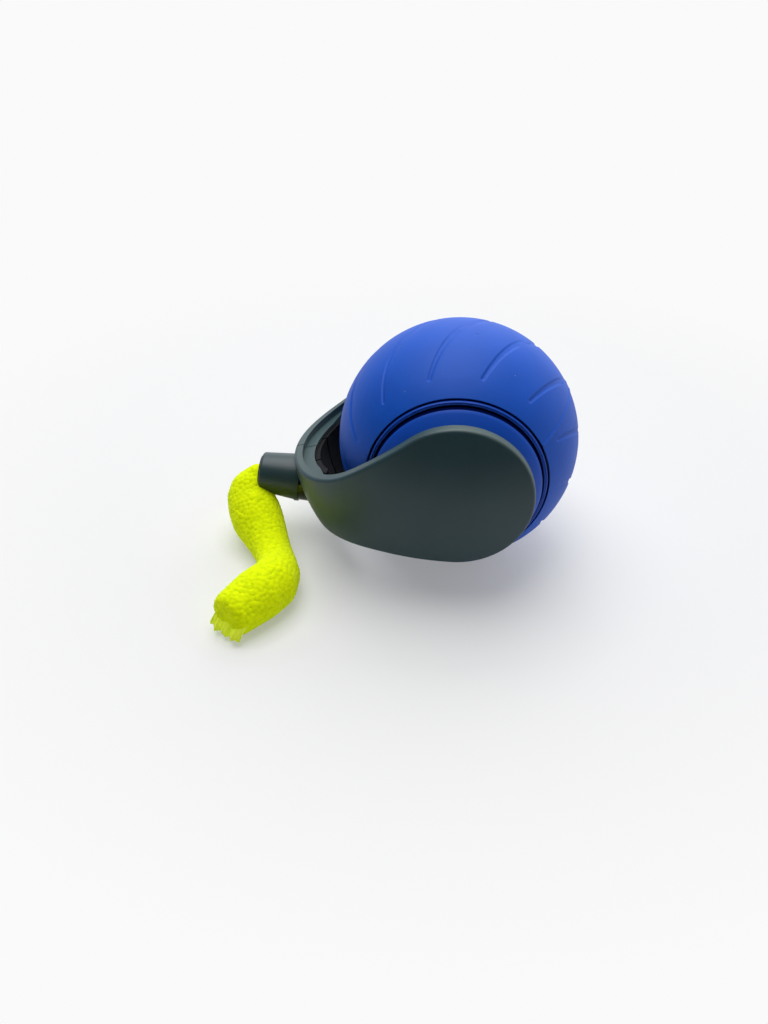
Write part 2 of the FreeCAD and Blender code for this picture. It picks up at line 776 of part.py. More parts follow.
def stadium_steps(width, height, z):
    """A slot outline with round ends, lying level."""
    half = (sized(width) - height) / 2
    z = sized(z)
    radius = sized(height) / 2
    return [
        to(half, z - radius),
        arc(half, z + radius, half, z, 1),
        to(-half, z + radius),
        arc(-half, z - radius, -half, z, 1),
    ]


def add_teeth(body, name, teeth, phase, low, high):
    """A toothed rim on a body that turns about its own Y axis; one tooth points at the phase."""
    pitch = gear_module * teeth / 2
    pad(body, name + "_blank", circle_steps(pitch - tooth_root), low, high)
    doc.recompute()
    steps = tooth_steps(pitch, tooth_root + tooth_bite, tooth_tip, tooth_width / 2, tooth_taper)
    tooth = pad(body, name + "_tooth", steps, low, high)
    turn_sketch(tooth.Profile[0], phase)
    doc.recompute()
    polar(body, name + "_teeth", tooth, teeth)
    doc.recompute()


def turn_sketch(sketch, angle):
    """Turn a sketch in its own plane."""
    angle = sized(angle)
    place = sketch.AttachmentOffset
    sketch.AttachmentOffset = FreeCAD.Placement(
        place.Base, FreeCAD.Rotation(FreeCAD.Vector(0, 0, 1), angle.value or 1))
    bind(sketch, "AttachmentOffset.Rotation.Angle", angle)


def make_ring_gear():
    """Inner-toothed ring on a plate, with posts that the hub is screwed to."""
    pitch = gear_module * ring_teeth / 2
    body = new_body("ring_gear_body")
    revolve(body, "ring_gear_turn", flipped([
        to(pitch - tooth_tip, ring_low),
        to(ring_outer, ring_low),
        to(ring_outer, ring_high),
        to(ring_plate_hole, ring_high),
        to(ring_plate_hole, ring_low + ring_face),
        to(pitch - tooth_tip, ring_low + ring_face),
    ], -1))
    doc.recompute()
    space_half = (math.pi * gear_module - tooth_width) / 2
    steps = tooth_steps(pitch, tooth_tip + tooth_bite, tooth_root, space_half, tooth_taper)
    space = pocket(body, "ring_space", steps, -(ring_low + ring_face), -ring_low)
    turn_sketch(space.Profile[0], idler_angle)
    doc.recompute()
    polar(body, "ring_spaces", space, ring_teeth)
    doc.recompute()
    places = [around(hub_screw_circle, angle) for angle in (45, 135, 225, 315)]
    posts = [
        rod("ring_post_%d" % index, ring_post_radius, -ring_post_end, -ring_high, x, z)
        for index, (x, z) in enumerate(places)
    ]
    holes = [
        rod("ring_post_hole_%d" % index, screw_space, -ring_post_end, -ring_high - screw_end_gap, x, z)
        for index, (x, z) in enumerate(places)
    ]
    keep("ring_gear", cut("ring_gear_drilled", fuse("ring_gear_posts", [body] + posts), holes))


def make_idler():
    """Two gears on one hub: the small one runs in the ring, the big one on the motor pinion."""
    body = new_body("idler_body")
    add_teeth(body, "idler_big", idler_big_teeth, motor_angle, -big_gear_high, -big_gear_low)
    hub_end = -big_gear_low - big_gear_width / 2
    pad(body, "idler_hub", circle_steps(idler_hub_radius), -small_gear_high, hub_end)
    doc.recompute()
    add_teeth(body, "idler_small", idler_small_teeth, idler_angle, -small_gear_high, -ring_low)
    bore_steps = circle_steps(gear_pin_radius + fit_gap)
    bore = pocket(body, "idler_bore", bore_steps, -small_gear_high, -big_gear_low)
    body.Tip = bore
    bind(body, "Placement.Base.x", idler_x)
    keep("idler_gear", body, idler_z)
    pin_end = small_gear_high + idler_end_gap / 2
    keep("idler_pin", rod("idler_pin_rod", gear_pin_radius, -pin_end, -motor_plate_low, idler_x), idler_z)


def make_pinion():
    """The motor's shaft and its pinion, with a tooth space towards the idler."""
    body = new_body("pinion_body")
    phase = motor_angle - 180 + 180 / pinion_teeth
    add_teeth(body, "pinion", pinion_teeth, phase, -big_gear_high, -big_gear_low)
    bore = pocket(body, "pinion_bore", circle_steps(gear_pin_radius), -big_gear_high, -big_gear_low)
    body.Tip = bore
    bind(body, "Placement.Base.x", motor_x)
    keep("motor_pinion", body, motor_z)
    shaft = rod("motor_shaft_rod", gear_pin_radius, -big_gear_high, -shaft_sink, motor_x)
    keep("motor_shaft", shaft, motor_z)


def make_motor():
    """A small geared-down motor: a can with a bore for its shaft, and an end cap."""
    can_end = motor_length - motor_plate_low - motor_cap_length
    can = rod("motor_can_rod", motor_radius, -motor_plate_low, can_end, motor_x, motor_z)
    bore_end = fit_gap - shaft_sink
    bore = rod("motor_can_bore", gear_pin_radius + fit_gap, -motor_plate_low, bore_end, motor_x, motor_z)
    hole_end = motor_screw_length - motor_plate_high
    holes = [
        rod("motor_can_hole_%d" % index, screw_space, -motor_plate_low, hole_end, x, z)
        for index, (x, z) in enumerate(motor_screw_places)
    ]
    keep("motor_can", cut("motor_can_cut", can, [bore] + holes))
    cap_end = can_end + motor_cap_length
    keep("motor_end_cap", fuse("motor_end_cap_fuse", [
        rod("motor_end_cap_rod", motor_radius - motor_cap_step, can_end, cap_end, motor_x, motor_z),
        rod("motor_end_boss", motor_boss_radius, can_end, cap_end + motor_boss_height, motor_x, motor_z),
    ]))
    head = -(motor_plate_high + screw_head_height)
    tip = head + screw_head_height + motor_screw_length
    screws("motor_screws", motor_screw_places, tip, head, case_screw)


def make_chassis():
    """The frame inside the ball: a motor plate and a far plate on a tray, with rails and a shelf."""
    depth = (-motor_plate_high, far_plate_low + far_plate_wall / 4)
    between = (-motor_plate_low, far_plate_low)
    rail_z = (board_bottom - rail_height, board_bottom)
    shelf_y = (-motor_plate_low, cell_length - motor_plate_low)
    shelf_z = (cell_top - cell_height - shelf_wall, cell_top - cell_height)
    pieces = [
        rod("motor_plate", motor_plate_radius, -motor_plate_high, -motor_plate_low),
        rod("far_plate", far_plate_radius, far_plate_low, far_plate_high),
        block("tray", (-tray_half_width, tray_half_width), depth, (tray_top - tray_wall, tray_top)),
        block("front_rail", (rail_outside - rail_width, rail_outside), between, rail_z),
        block("back_rail", (-rail_outside, rail_width - rail_outside), between, rail_z),
        block("cell_shelf", (-cell_front - cell_width, -cell_front), shelf_y, shelf_z),
    ]
    shaft_space = gear_pin_radius + shaft_clearance
    tools = [
        rod("shaft_hole", shaft_space, -motor_plate_high, -motor_plate_low, motor_x, motor_z),
        rod("pin_hole", gear_pin_radius, -motor_plate_high, -motor_plate_low, idler_x, idler_z),
        rod("wire_hole", far_plate_hole, far_plate_low, far_plate_high),
    ]
    for index, (x, z) in enumerate(post_places):
        tools.append(rod("post_hole_%d" % index, screw_space, -motor_plate_high, -motor_plate_low, x, z))
    for index, (x, z) in enumerate(motor_screw_places):
        tools.append(rod("motor_hole_%d" % index, screw_space, -motor_plate_high, -motor_plate_low, x, z))
    for index, (x, z) in enumerate(flange_places):
        tools.append(rod("flange_hole_%d" % index, screw_space, far_plate_low, far_plate_high, x, z))
    keep("chassis_cradle", cut("chassis_cut", fuse("chassis_fuse", pieces), tools))


def make_gearbox_cover():
    """Plate over the gears with four posts, and the hollow axle end that the near arm sits on."""
    top = near_spigot_end
    body = new_body("gearbox_cover_body")
    inner = near_spigot_radius - spigot_wall
    revolve(body, "gearbox_cover_turn", flipped([
        to(inner, gearbox_low),
        to(gearbox_radius, gearbox_low),
        to(gearbox_radius, gearbox_high),
        to(near_spigot_radius, gearbox_high),
        to(near_spigot_radius, top),
        to(screw_space, top),
        to(screw_space, top - spigot_wall),
        to(inner, top - spigot_wall),
    ], -1))
    posts = [
        rod("gearbox_post_%d" % index, post_radius, -gearbox_low, -motor_plate_high, x, z)
        for index, (x, z) in enumerate(post_places)
    ]
    hole_end = -gearbox_low - post_hole_margin
    holes = [
        rod("gearbox_post_hole_%d" % index, screw_space, hole_end, -motor_plate_high, x, z)
        for index, (x, z) in enumerate(post_places)
    ]
    small_tip = gear_module * idler_small_teeth / 2 + tooth_tip
    holes.append(rod("idler_pass", small_tip + idler_clearance, -gearbox_high, -gearbox_low, idler_x, idler_z))
    keep("gearbox_cover", cut("gearbox_cover_cut", fuse("gearbox_cover_fuse", [body] + posts), holes))
    head = -motor_plate_low + screw_head_height
    tip = head - screw_head_height - motor_plate_wall - post_screw_bite
    screws("gearbox_screws", post_places, tip, head, case_screw)
    arm_head = -(top - spigot_wall - screw_head_height)
    screws("near_arm_screw", [(sized(0), sized(0))], -(top + arm_screw_bite), arm_head, case_screw)


def make_far_spigot():
    """Flanged hollow axle end on the far side; it carries the switch board and the far arm."""
    body = new_body("far_spigot_body")
    inner = far_spigot_radius - spigot_wall
    ledge = inner - switch_board_ledge
    revolve(body, "far_spigot_turn", [
        to(ledge, far_plate_high),
        to(far_flange_radius, far_plate_high),
        to(far_flange_radius, far_plate_high + far_flange_wall),
        to(far_spigot_radius, far_plate_high + far_flange_wall),
        to(far_spigot_radius, far_spigot_end),
        to(inner, far_spigot_end),
        to(inner, switch_board_low),
        to(ledge, switch_board_low),
    ])
    holes = [
        rod("far_flange_hole_%d" % index, screw_space, far_plate_high, far_plate_high + far_flange_wall, x, z)
        for index, (x, z) in enumerate(flange_places)
    ]
    low = far_spigot_end - small_screw_bite - screw_end_gap
    holes += [
        rod("far_arm_hole_%d" % index, small_screw_space, low, far_spigot_end, x, z)
        for index, (x, z) in enumerate(arm_places)
    ]
    keep("far_spigot", cut("far_spigot_cut", body, holes))
    head = far_plate_high + far_flange_wall + screw_head_height
    screws("far_flange_screws", flange_places, far_plate_low + screw_end_gap, head, case_screw)
    head = arm_screw_seat + small_head_height
    screws("far_arm_screws", arm_places, far_spigot_end - small_screw_bite, head, small_screw)


def fork_outline(drop, rise, front):
    """Side view of the fork behind its head; strips inside it lie lower and end higher."""
    top = fork_head_radius - drop
    rim = fork_rim_radius + drop
    past = fork_reach + 1
    belly = fork_belly_radius + rise
    belly_centre = -fork_head_radius - fork_belly_radius
    rim_x = rim * sine(fork_neck_slope) - fork_rim_back
    rim_z = rim_centre - rim * cosine(fork_neck_slope)
    return front + [
        to(-top * sine(fork_neck_slope), top * cosine(fork_neck_slope)) if len(front) == 1 else front_touch(),
        to(rim_x, rim_z),
        arc(-past, rim_centre - side_of(rim, past - fork_rim_back), -fork_rim_back, rim_centre),
        to(-past, belly_centre + side_of(belly, past - fork_belly_start)),
        arc(-fork_belly_start, belly_centre + belly, -fork_belly_start, belly_centre),
    ]


def front_touch():
    """Where the fork's round head runs into its neck."""
    return arc(-fork_head_radius * sine(fork_neck_slope), fork_head_radius * cosine(fork_neck_slope), 0, 0)


def keep_inside(body, name, steps):
    """Cut away all of the body that lies outside an (x, z) outline."""
    feature = pocket(body, name, steps, -frame_reach, frame_reach)
    outline(feature.Profile[0], [
        to(-frame_reach, -frame_reach),
        to(frame_reach, -frame_reach),
        to(frame_reach, frame_reach),
        to(-frame_reach, frame_reach),
    ])
    doc.recompute()
    return feature


def back_strip(outer, inner, start, spread, fade):
    """Profile of a layer on the inside of the fork's back, from near the middle towards an arm."""
    outer_radius = fork_back_radius - outer
    inner_radius = fork_back_radius - inner
    outer_end = back_point(outer, spread)
    inner_end = back_point(inner, spread - fade)
    return [
        to(back_centre + side_of(outer_radius, start), start),
        arc(outer_end[0], outer_end[1], back_centre, 0),
        to(inner_end[0], inner_end[1]),
        arc(back_centre + side_of(inner_radius, start), start, back_centre, 0),
    ]


def same(length, size_value):
    """Whether a measured length is one of the sizes."""
    return abs(length - size_value.value) < 0.01


def rim_edges(shape):
    """The edges where the fork's outer surface meets its side cut."""
    names = []
    for index, edge in enumerate(shape.Edges):
        surfaces = [face.Surface for face in shape.Faces if any(edge.isSame(other) for other in face.Edges)]
        outside = [
            surface for surface in surfaces
            if (surface.TypeId == "Part::GeomSphere" and same(surface.Radius, fork_face_radius))
            or (surface.TypeId == "Part::GeomToroid" and same(surface.MinorRadius, fork_back_radius))
        ]
        across = [
            surface for surface in surfaces
            if (surface.TypeId == "Part::GeomPlane" and abs(surface.Axis.y) < 0.5)
            or (surface.TypeId == "Part::GeomCylinder" and surface.Radius > disc_radius.value + 1)
        ]
        if outside and across:
            names.append("Edge%d" % (index + 1))
    return names


def make_core():
    """The space inside the middle of the fork's wall, on both sides of the axle's middle."""
    inset = fork_wall / 2
    top = fork_half_width - inset
    meet_radius, meet_height = tangent_point(inset)
    body = new_body("fork_core")
    revolve(body, "fork_core_turn", [
        to(0, -top),
        arc(meet_radius, -meet_height, 0, -face_centre),
        arc(fork_reach - inset, 0, back_centre, 0),
        arc(meet_radius, meet_height, back_centre, 0),
        arc(0, top, 0, face_centre),
    ])
    doc.recompute()
    return body


def outside_core(name, radius, high):
    """A round bar on the swivel axis that ends on the middle of the fork's curved wall."""
    return cut(name, swivel_rod(name + "_rod", radius, -spindle_reach, high), [core])


def make_fork_half(name, side):
    """One arm of the fork with its half of the back, its inner ledge and the seat for its axle end."""
    body = new_body(name + "_body")
    lap = -seam_lap if side < 0 else seam_lap + seam_gap
    revolve(body, name + "_ledge", flipped(
        back_strip(fork_wall, fork_wall + ledge_depth, lap, ledge_spread, ledge_fade), side))
    keep_inside(body, name + "_ledge_rim", fork_outline(ledge_drop, sized(0), [to(0, -fork_head_radius)]))
    boss_inner = (near_spigot_radius if side < 0 else far_spigot_radius) + fit_gap
    boss_outer = boss_inner + boss_wall
    outer_meet = tangent_point(sized(0))
    inner_meet = tangent_point(fork_wall)
    start = seam_gap / 2
    inside = [
        arc(back_centre + side_of(fork_back_radius, start), start, back_centre, 0),
        to(back_centre + side_of(fork_back_radius - fork_wall, start), start),
        arc(inner_meet[0], inner_meet[1], back_centre, 0),
        arc(boss_outer, face_height(boss_outer, fork_wall), 0, face_centre),
        to(boss_outer, boss_end),
        to(boss_inner, boss_end),
    ]
    if side < 0:
        head = [to(0, fork_half_width), arc(outer_meet[0], outer_meet[1], 0, face_centre)]
        seat = [to(boss_inner, fork_half_width - fork_wall), to(0, fork_half_width - fork_wall)]
    else:
        rim = disc_radius + disc_gap
        head = [
            to(far_opening_radius, face_height(far_opening_radius, disc_thickness)),
            arc(rim, face_height(rim, disc_thickness), 0, face_centre),
            to(rim, face_height(rim)),
            arc(outer_meet[0], outer_meet[1], 0, face_centre),
        ]
        seat = [to(boss_inner, far_spigot_end), to(far_opening_radius, far_spigot_end)]
    revolve(body, name + "_wall", flipped(head + inside + seat, side))
    doc.recompute()
    front = [to(0, -fork_head_radius), arc(fork_head_radius, 0, 0, 0)]
    whole = keep_inside(body, name + "_side_cut", fork_outline(sized(0), sized(0), front))
    rounded = body.newObject("PartDesign::Fillet", name + "_rim")
    rounded.Base = (whole, rim_edges(body.Shape))
    bind(rounded, "Radius", fork_edge_round)
    doc.recompute()
    tools = [
        outside_core(name + "_collar_seat", collar_radius + fit_gap, collar_gap),
        swivel_rod(name + "_tube_seat", tube_base_radius + tube_seat_gap, -collar_gap, tube_length),
        swivel_rod(name + "_spindle_hole", spindle_radius + fit_gap, -spindle_reach, 0),
        swivel_rod(name + "_head_seat", spindle_head_radius + fit_gap, -spindle_reach, -spindle_head_depth),
    ]
    if side < 0:
        low = -(near_spigot_end + arm_screw_bite + screw_end_gap)
        tools.append(rod("near_arm_thread", screw_space, low, -near_spigot_end))
    else:
        for index, (x, z) in enumerate(arm_places):
            sink = small_head_radius + screw_gap
            low = far_spigot_end
            tools.append(rod("far_arm_clear_%d" % index, small_screw_space, low, fork_half_width, x, z))
            tools.append(rod("far_arm_sink_%d" % index, sink, arm_screw_seat, fork_half_width, x, z))
    keep(name, cut(name + "_cut", body, tools))


def seam_steps(side, far):
    """The wedge-shaped seam region between the liner panels, as (y, z) corners."""
    gap = liner_seam / 2 * far
    top_z = rim_centre - fork_rim_radius
    low_z = top_z - wedge_height
    return (wedge_top + gap) * side, top_z, (wedge_bottom + gap) * side, low_z


def cut_along_back(body, name, steps):
    """Cut a (y, z) outline through the back of a body, along X."""
    sketch = new_sketch(body, "YZ_Plane", name + "_outline", steps, -fork_reach / 2)
    feature = body.newObject("PartDesign::Pocket", name)
    feature.Profile = sketch
    bind(feature, "Length", fork_reach)
    doc.recompute()
    return feature


def make_liner():
    """Black lining on the inside of the fork's back: two panels and a wedge between them."""
    outer = fork_wall + ledge_depth + skin_gap
    inner = outer + liner_thickness
    high = fork_reach / 2
    rim = fork_outline(liner_drop, liner_rise, [to(0, -fork_head_radius + liner_rise)])
    for name, side in (("near_liner_panel", -1), ("far_liner_panel", 1)):
        body = new_body(name + "_body")
        strip = back_strip(outer, inner, sized(0), liner_spread, liner_fade)
        revolve(body, name + "_turn", flipped(strip, side))
        doc.recompute()
        keep_inside(body, name + "_rim", rim)
        top_y, top_z, low_y, low_z = seam_steps(side, 1)
        cut_along_back(body, name + "_seam", [
            to(top_y, top_z), to(low_y, low_z), to(low_y, -high), to(-high * side, -high),
            to(-high * side, high), to(top_y, high)])
        keep(name, body)
    body = new_body("liner_wedge_body")
    span = back_point(inner, liner_spread)[1]
    outer_x = back_centre + side_of(fork_back_radius - outer, span)
    inner_x = back_centre + side_of(fork_back_radius - inner, span)
    revolve(body, "liner_wedge_turn", [
        to(outer_x, -span),
        arc(outer_x, span, back_centre, 0),
        to(inner_x, span),
        arc(inner_x, -span, back_centre, 0),
    ])
    doc.recompute()
    keep_inside(body, "liner_wedge_rim", rim)
    for name, side in (("near", -1), ("far", 1)):
        top_y, top_z, low_y, low_z = seam_steps(side, -1)
        cut_along_back(body, "liner_wedge_%s_seam" % name, [
            to(top_y, top_z), to(low_y, low_z), to(low_y, -high), to(high * side, -high),
            to(high * side, high),
            to(top_y, high)])
    keep("liner_wedge", body)


def make_swivel():
    """Collar and spindle on the fork, and the tail tube that turns on them."""
    collar = outside_core("collar_blank", collar_radius, -collar_gap)
    bore = swivel_rod("collar_bore", spindle_radius + fit_gap, -spindle_reach, 0)
    keep("swivel_collar", cut("collar_cut", collar, [bore]))
    head_low = -(spindle_head_depth + spindle_head_height)
    tip = tube_web + collar_gap + nut_height + spindle_tip
    spindle = fuse("spindle_fuse", [
        swivel_rod("spindle_head", spindle_head_radius, head_low, -spindle_head_depth),
        swivel_rod("spindle_shank", spindle_radius, -spindle_head_depth, tip),
    ])
    keep("swivel_spindle", spindle)
    nut_low = tube_web + collar_gap
    nut = cut("nut_cut", swivel_rod("nut_rod", nut_radius, nut_low, nut_low + nut_height), [
        swivel_rod("nut_bore", spindle_radius, nut_low, nut_low + nut_height)])
    keep("swivel_nut", nut)
    body = new_body("tail_tube_body")
    bore = tube_bore_radius + fit_gap
    revolve(body, "tail_tube_turn", [
        to(spindle_radius + fit_gap, 0),
        to(tube_base_radius, 0),
        to(tube_base_radius, tube_step_length),
        to(tube_base_radius - tube_step, tube_step_length),
        to(tube_mouth_radius, tube_length - tube_mouth_round),
        arc(tube_mouth_radius - tube_mouth_round, tube_length,
            tube_mouth_radius - tube_mouth_round, tube_length - tube_mouth_round),
        to(bore, tube_length),
        to(bore, tube_web),
        to(spindle_radius + fit_gap, tube_web),
    ], "XZ_Plane")
    keep("tail_tube", on_swivel(body), -swivel_drop)
    low = tube_length - plug_length
    plug = swivel_rod("tail_plug_rod", tube_bore_radius, low, tube_length + tail_gap)
    keep("tail_plug", plug, low * sine(swivel_tilt) - swivel_drop)


def make_controls():
    """Round control face on the far arm, with its button, light, charging socket and plug."""
    top = face_height(sized(0))
    hole = button_radius + disc_gap * 2
    under = disc_thickness - fit_gap
    disc = new_body("control_disc_body")
    revolve(disc, "control_disc_turn", [
        to(hole, face_height(hole, under)),
        arc(disc_radius, face_height(disc_radius, under), 0, face_centre),
        to(disc_radius, face_height(disc_radius)),
        arc(hole, face_height(hole), 0, face_centre),
    ])
    doc.recompute()
    opening = stadium_steps(port_width, port_height, -port_drop)
    pocket(disc, "port_opening", opening, far_spigot_end, fork_half_width + 1)
    doc.recompute()
    lens_steps = circle_steps(lens_radius + fit_gap, 0, lens_place)
    pocket(disc, "lens_opening", lens_steps, far_spigot_end, fork_half_width + 1)
    keep("control_disc", disc)
    lens_top = face_height(lens_place)
    keep("status_lens", rod("status_lens_rod", lens_radius, lens_top - lens_length, lens_top), lens_place)
    switch_low = switch_board_low + switch_board_wall
    switch_top = switch_low + switch_height
    flange = button_radius + button_flange
    flange_top = face_height(flange, under) - button_play * 2
    button = new_body("power_button_body")
    revolve(button, "power_button_turn", [
        to(0, switch_top + button_travel + button_play),
        to(button_stem_radius, switch_top + button_travel + button_play),
        to(button_stem_radius, flange_top - button_flange_wall),
        to(flange, flange_top - button_flange_wall),
        to(flange, flange_top),
        to(button_radius, flange_top),
        to(button_radius, top),
        to(button_radius - button_proud, top + button_proud),
        to(0, top + button_proud),
    ])
    keep("power_button", button)
    half = switch_side / 2
    switch = block("power_switch_block", (-half, half), (switch_low, switch_top), (-half, half))
    keep("power_switch", switch, -half)
    board_radius = far_spigot_radius - spigot_wall - disc_gap
    keep("switch_board", rod("switch_board_rod", board_radius, switch_board_low, switch_low))
    make_socket(switch_low)


def make_socket(low):
    """Charging socket on the switch board, and the soft plug that closes it."""
    body = new_body("charging_socket_body")
    high = low + socket_length
    pad(body, "socket_shell", stadium_steps(socket_width, socket_height, -port_drop), low, high)
    doc.recompute()
    inside = stadium_steps(socket_width - socket_wall * 2, socket_height - socket_wall * 2, -port_drop)
    pocket(body, "socket_mouth", inside, high - socket_depth, high)
    doc.recompute()
    half = tongue_width / 2
    tongue_low = high - socket_depth
    pad(body, "socket_tongue", [
        to(-half, -port_drop - tongue_height / 2),
        to(half, -port_drop - tongue_height / 2),
        to(half, -port_drop + tongue_height / 2),
        to(-half, -port_drop + tongue_height / 2),
    ], tongue_low, tongue_low + tongue_length)
    keep("charging_socket", body)
    plug = new_body("port_plug_body")
    face = face_height(port_drop)
    lip = stadium_steps(port_width - disc_gap * 2, port_height - disc_gap * 2, -port_drop)
    pad(plug, "plug_lip_pad", lip, high + fit_gap, face)
    doc.recompute()
    stem_width = socket_width - socket_wall * 2 - disc_gap * 2
    stem = stadium_steps(stem_width, socket_height - socket_wall * 2 - disc_gap * 2, -port_drop)
    pad(plug, "plug_stem_pad", stem, high - plug_tongue, high + fit_gap)
    keep("port_plug", plug)


def make_electronics():
    """Cell, board, chips, tilt sensor and the steel weight that keeps the chassis level."""
    floor = tray_top - tray_wall
    cell_y = (-motor_plate_low + fit_gap, cell_length - motor_plate_low)
    cell_x = (-cell_front - cell_width, -cell_front)
    cell = block("cell_block", cell_x, cell_y, (cell_top - cell_height, cell_top))
    keep("battery_cell", cell, cell_top - cell_height)
    board_y = (-motor_plate_low + board_gap, board_length - motor_plate_low)
    board_high = board_bottom + board_wall
    board = block("board_block", (-board_back, board_front), board_y, (board_bottom, board_high))
    keep("control_board", board, board_bottom)
    half = chip_side / 2
    chips = [
        block("chip_%d" % index, (x - half, x + half), (-half, half), (board_high, board_high + chip_height))
        for index, x in enumerate((-chip_spread, chip_spread))
    ]
    group = doc.addObject("Part::Compound", "board_chips_group")
    group.Links = chips
    keep("board_chips", group)
    low_y = far_plate_low - sensor_side * 2
    sensor_x = (-sensor_side / 2, sensor_side / 2)
    sensor_z = (board_high, board_high + sensor_height)
    sensor = block("tilt_sensor_block", sensor_x, (low_y, low_y + sensor_side), sensor_z)
    keep("tilt_sensor", sensor, board_high)
    weight_radius = shell_inner - weight_clearance
    sphere = doc.addObject("Part::Sphere", "weight_round")
    bind(sphere, "Radius", weight_radius)
    weight = doc.addObject("Part::Common", "steel_weight_common")
    weight.Base = sphere
    weight_x = (-weight_half_width, weight_half_width)
    weight.Tool = block("weight_block", weight_x, (weight_low_y, weight_high_y), (-weight_radius, floor))
    keep("steel_weight", weight)


# The tail's middle line: (behind the tube's end, along Y, above the floor, radius)
TAIL_ROUTE = (
    (-2.6, 3.2, 16.5, 2.5),
    (-2.8, 2.2, 15.8, 5.4),
    (-2.6, -0.6, 14.9, 7.2),
    (-2.6, -3.2, 12.9, 8.3),
    (-1.5, -6.5, 10.4, 8.4),
    (0.4, -10.3, 8.1, 8.2),
    (2.8, -14.0, 6.7, 7.3),
    (5.2, -18.3, 5.8, 6.4),
    (7.4, -22.8, 5.3, 5.9),
    (9.4, -27.6, 5.4, 6.0),
    (10.6, -32.8, 6.1, 6.8),
    (10.3, -38.3, 6.9, 7.7),
    (7.2, -43.5, 7.0, 7.9),
    (3.6, -48.4, 6.4, 7.2),
    (1.6, -51.2, 6.1, 6.8),
    (0.7, -52.4, 6.0, 6.2),
    (0.4, -52.8, 6.0, 5.2),
)

# Where the plush is gathered below the tube's mouth, from the middle of the mouth
TAIL_GATHER = (-2.6, 0.2, -3.6)
TAIL_GATHER_RADIUS = 6.0


def ring_wire(centre, along, across, radius):
    """A circle as four arcs, square to the tail's middle line."""
    other = along.cross(across)
    corners = []
    for step in range(8):
        turn = math.radians(45 * step)
        corners.append(centre + across * (radius * math.cos(turn)) + other * (radius * math.sin(turn)))
    arcs = [Part.Arc(corners[i], corners[i + 1], corners[(i + 2) % 8]).toShape() for i in (0, 2, 4, 6)]
    return Part.Wire(arcs)


def make_tail():
    """Stuffed plush tail: it hangs from the tube's mouth and lies curled on the floor."""
    tilt = math.radians(sheet.swivel_tilt)
    out = FreeCAD.Vector(-math.cos(tilt), 0, math.sin(tilt))
    collar_end = FreeCAD.Vector(-sheet.swivel_back, 0, sheet.ball_radius - sheet.swivel_drop)
    mouth = collar_end + out * sheet.tube_length
    start = mouth + out * sheet.tail_gap
    points = [FreeCAD.Vector(mouth.x + x, y, z) for x, y, z, radius in TAIL_ROUTE]
    across = FreeCAD.Vector(1, 0, 0)
    rings = []
    for index, point in enumerate(points):
        before = points[max(index - 1, 0)]
        after = points[min(index + 1, len(points) - 1)]
        along = (after - before).normalize()
        across = (across - along * across.dot(along)).normalize()
        rings.append(ring_wire(point, along, across, TAIL_ROUTE[index][3]))
    body = Part.makeLoft(rings, True, False)
    gather = start + FreeCAD.Vector(*TAIL_GATHER)
    side = FreeCAD.Vector(0, 1, 0)
    mouth_rings = [
        ring_wire(start, out, side, sheet.tube_bore_radius),
        ring_wire(gather, out, side, TAIL_GATHER_RADIUS),
    ]
    neck = Part.makeLoft(mouth_rings, True, True).fuse(Part.makeSphere(TAIL_GATHER_RADIUS + 0.05, gather))
    reach = sheet.ball_radius * 3
    below = Part.makeBox(reach * 2, reach * 2, reach, FreeCAD.Vector(-reach, -reach, -reach))
    gap = sheet.tail_gap
    tube_space = Part.makeCylinder(sheet.tube_base_radius + gap, sheet.tube_length + gap, collar_end, out)
    tail = doc.addObject("Part::Feature", "tail")
    tail.Shape = body.fuse(neck).cut(tube_space).cut(below)
    tail.Label = "tail"
    nodes["tail"] = tail
    return tail


# Places worked out from the sizes above
fork_rim_back = (
    fork_head_radius + fork_rim_radius - (fork_rim_radius - fork_rim_drop) * cosine(fork_neck_slope)
) / sine(fork_neck_slope)
rim_centre = fork_rim_radius - fork_rim_drop
frame_reach = fork_reach + 12
hub_screw_seat = -(hub_edge_height + hub_screw_sink)
motor_screw_places = []
for turn in (90, 270):
    place = around(motor_screw_circle, motor_angle + turn)
    motor_screw_places.append((motor_x + place[0], motor_z + place[1]))
flange_places = [around(flange_circle, angle) for angle in (90, 210, 330)]
arm_places = [around(arm_screw_circle, angle) for angle in (0, 180)]

make_sleeve()
make_shells()
make_hub("near", -1, near_bush_outer)
make_hub("far", 1, far_bush_outer)
make_clamp_ring("near_clamp_ring", -1)
make_clamp_ring("far_clamp_ring", 1)
make_ring_gear()
make_idler()
make_pinion()
make_motor()
make_chassis()
make_gearbox_cover()
make_far_spigot()
core = make_core()
make_fork_half("near_fork_half", -1)
make_fork_half("far_fork_half", 1)
make_liner()
make_swivel()
make_controls()
make_electronics()
make_tail()

doc.recompute()
faults = [item.Name for item in doc.Objects if "Invalid" in item.State or "Error" in item.State]
for name, thing in nodes.items():
    if thing.Shape.isNull() or not thing.Shape.isValid():
        faults.append(name)
if faults:
    raise RuntimeError("these did not build: " + ", ".join(faults))
for name, thing in nodes.items():
    thing.Shape.exportStep("parts/%s.step" % name)
    box = thing.Shape.BoundBox
    print("%-18s %8.1f mm3  x %6.1f %6.1f  y %6.1f %6.1f  z %6.1f %6.1f" % (
        name, thing.Shape.Volume, box.XMin, box.XMax, box.YMin, box.YMax, box.ZMin, box.ZMax))
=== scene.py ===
import math
import bpy
import numpy as np
from mathutils import Euler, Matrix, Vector
from mathutils.kdtree import KDTree


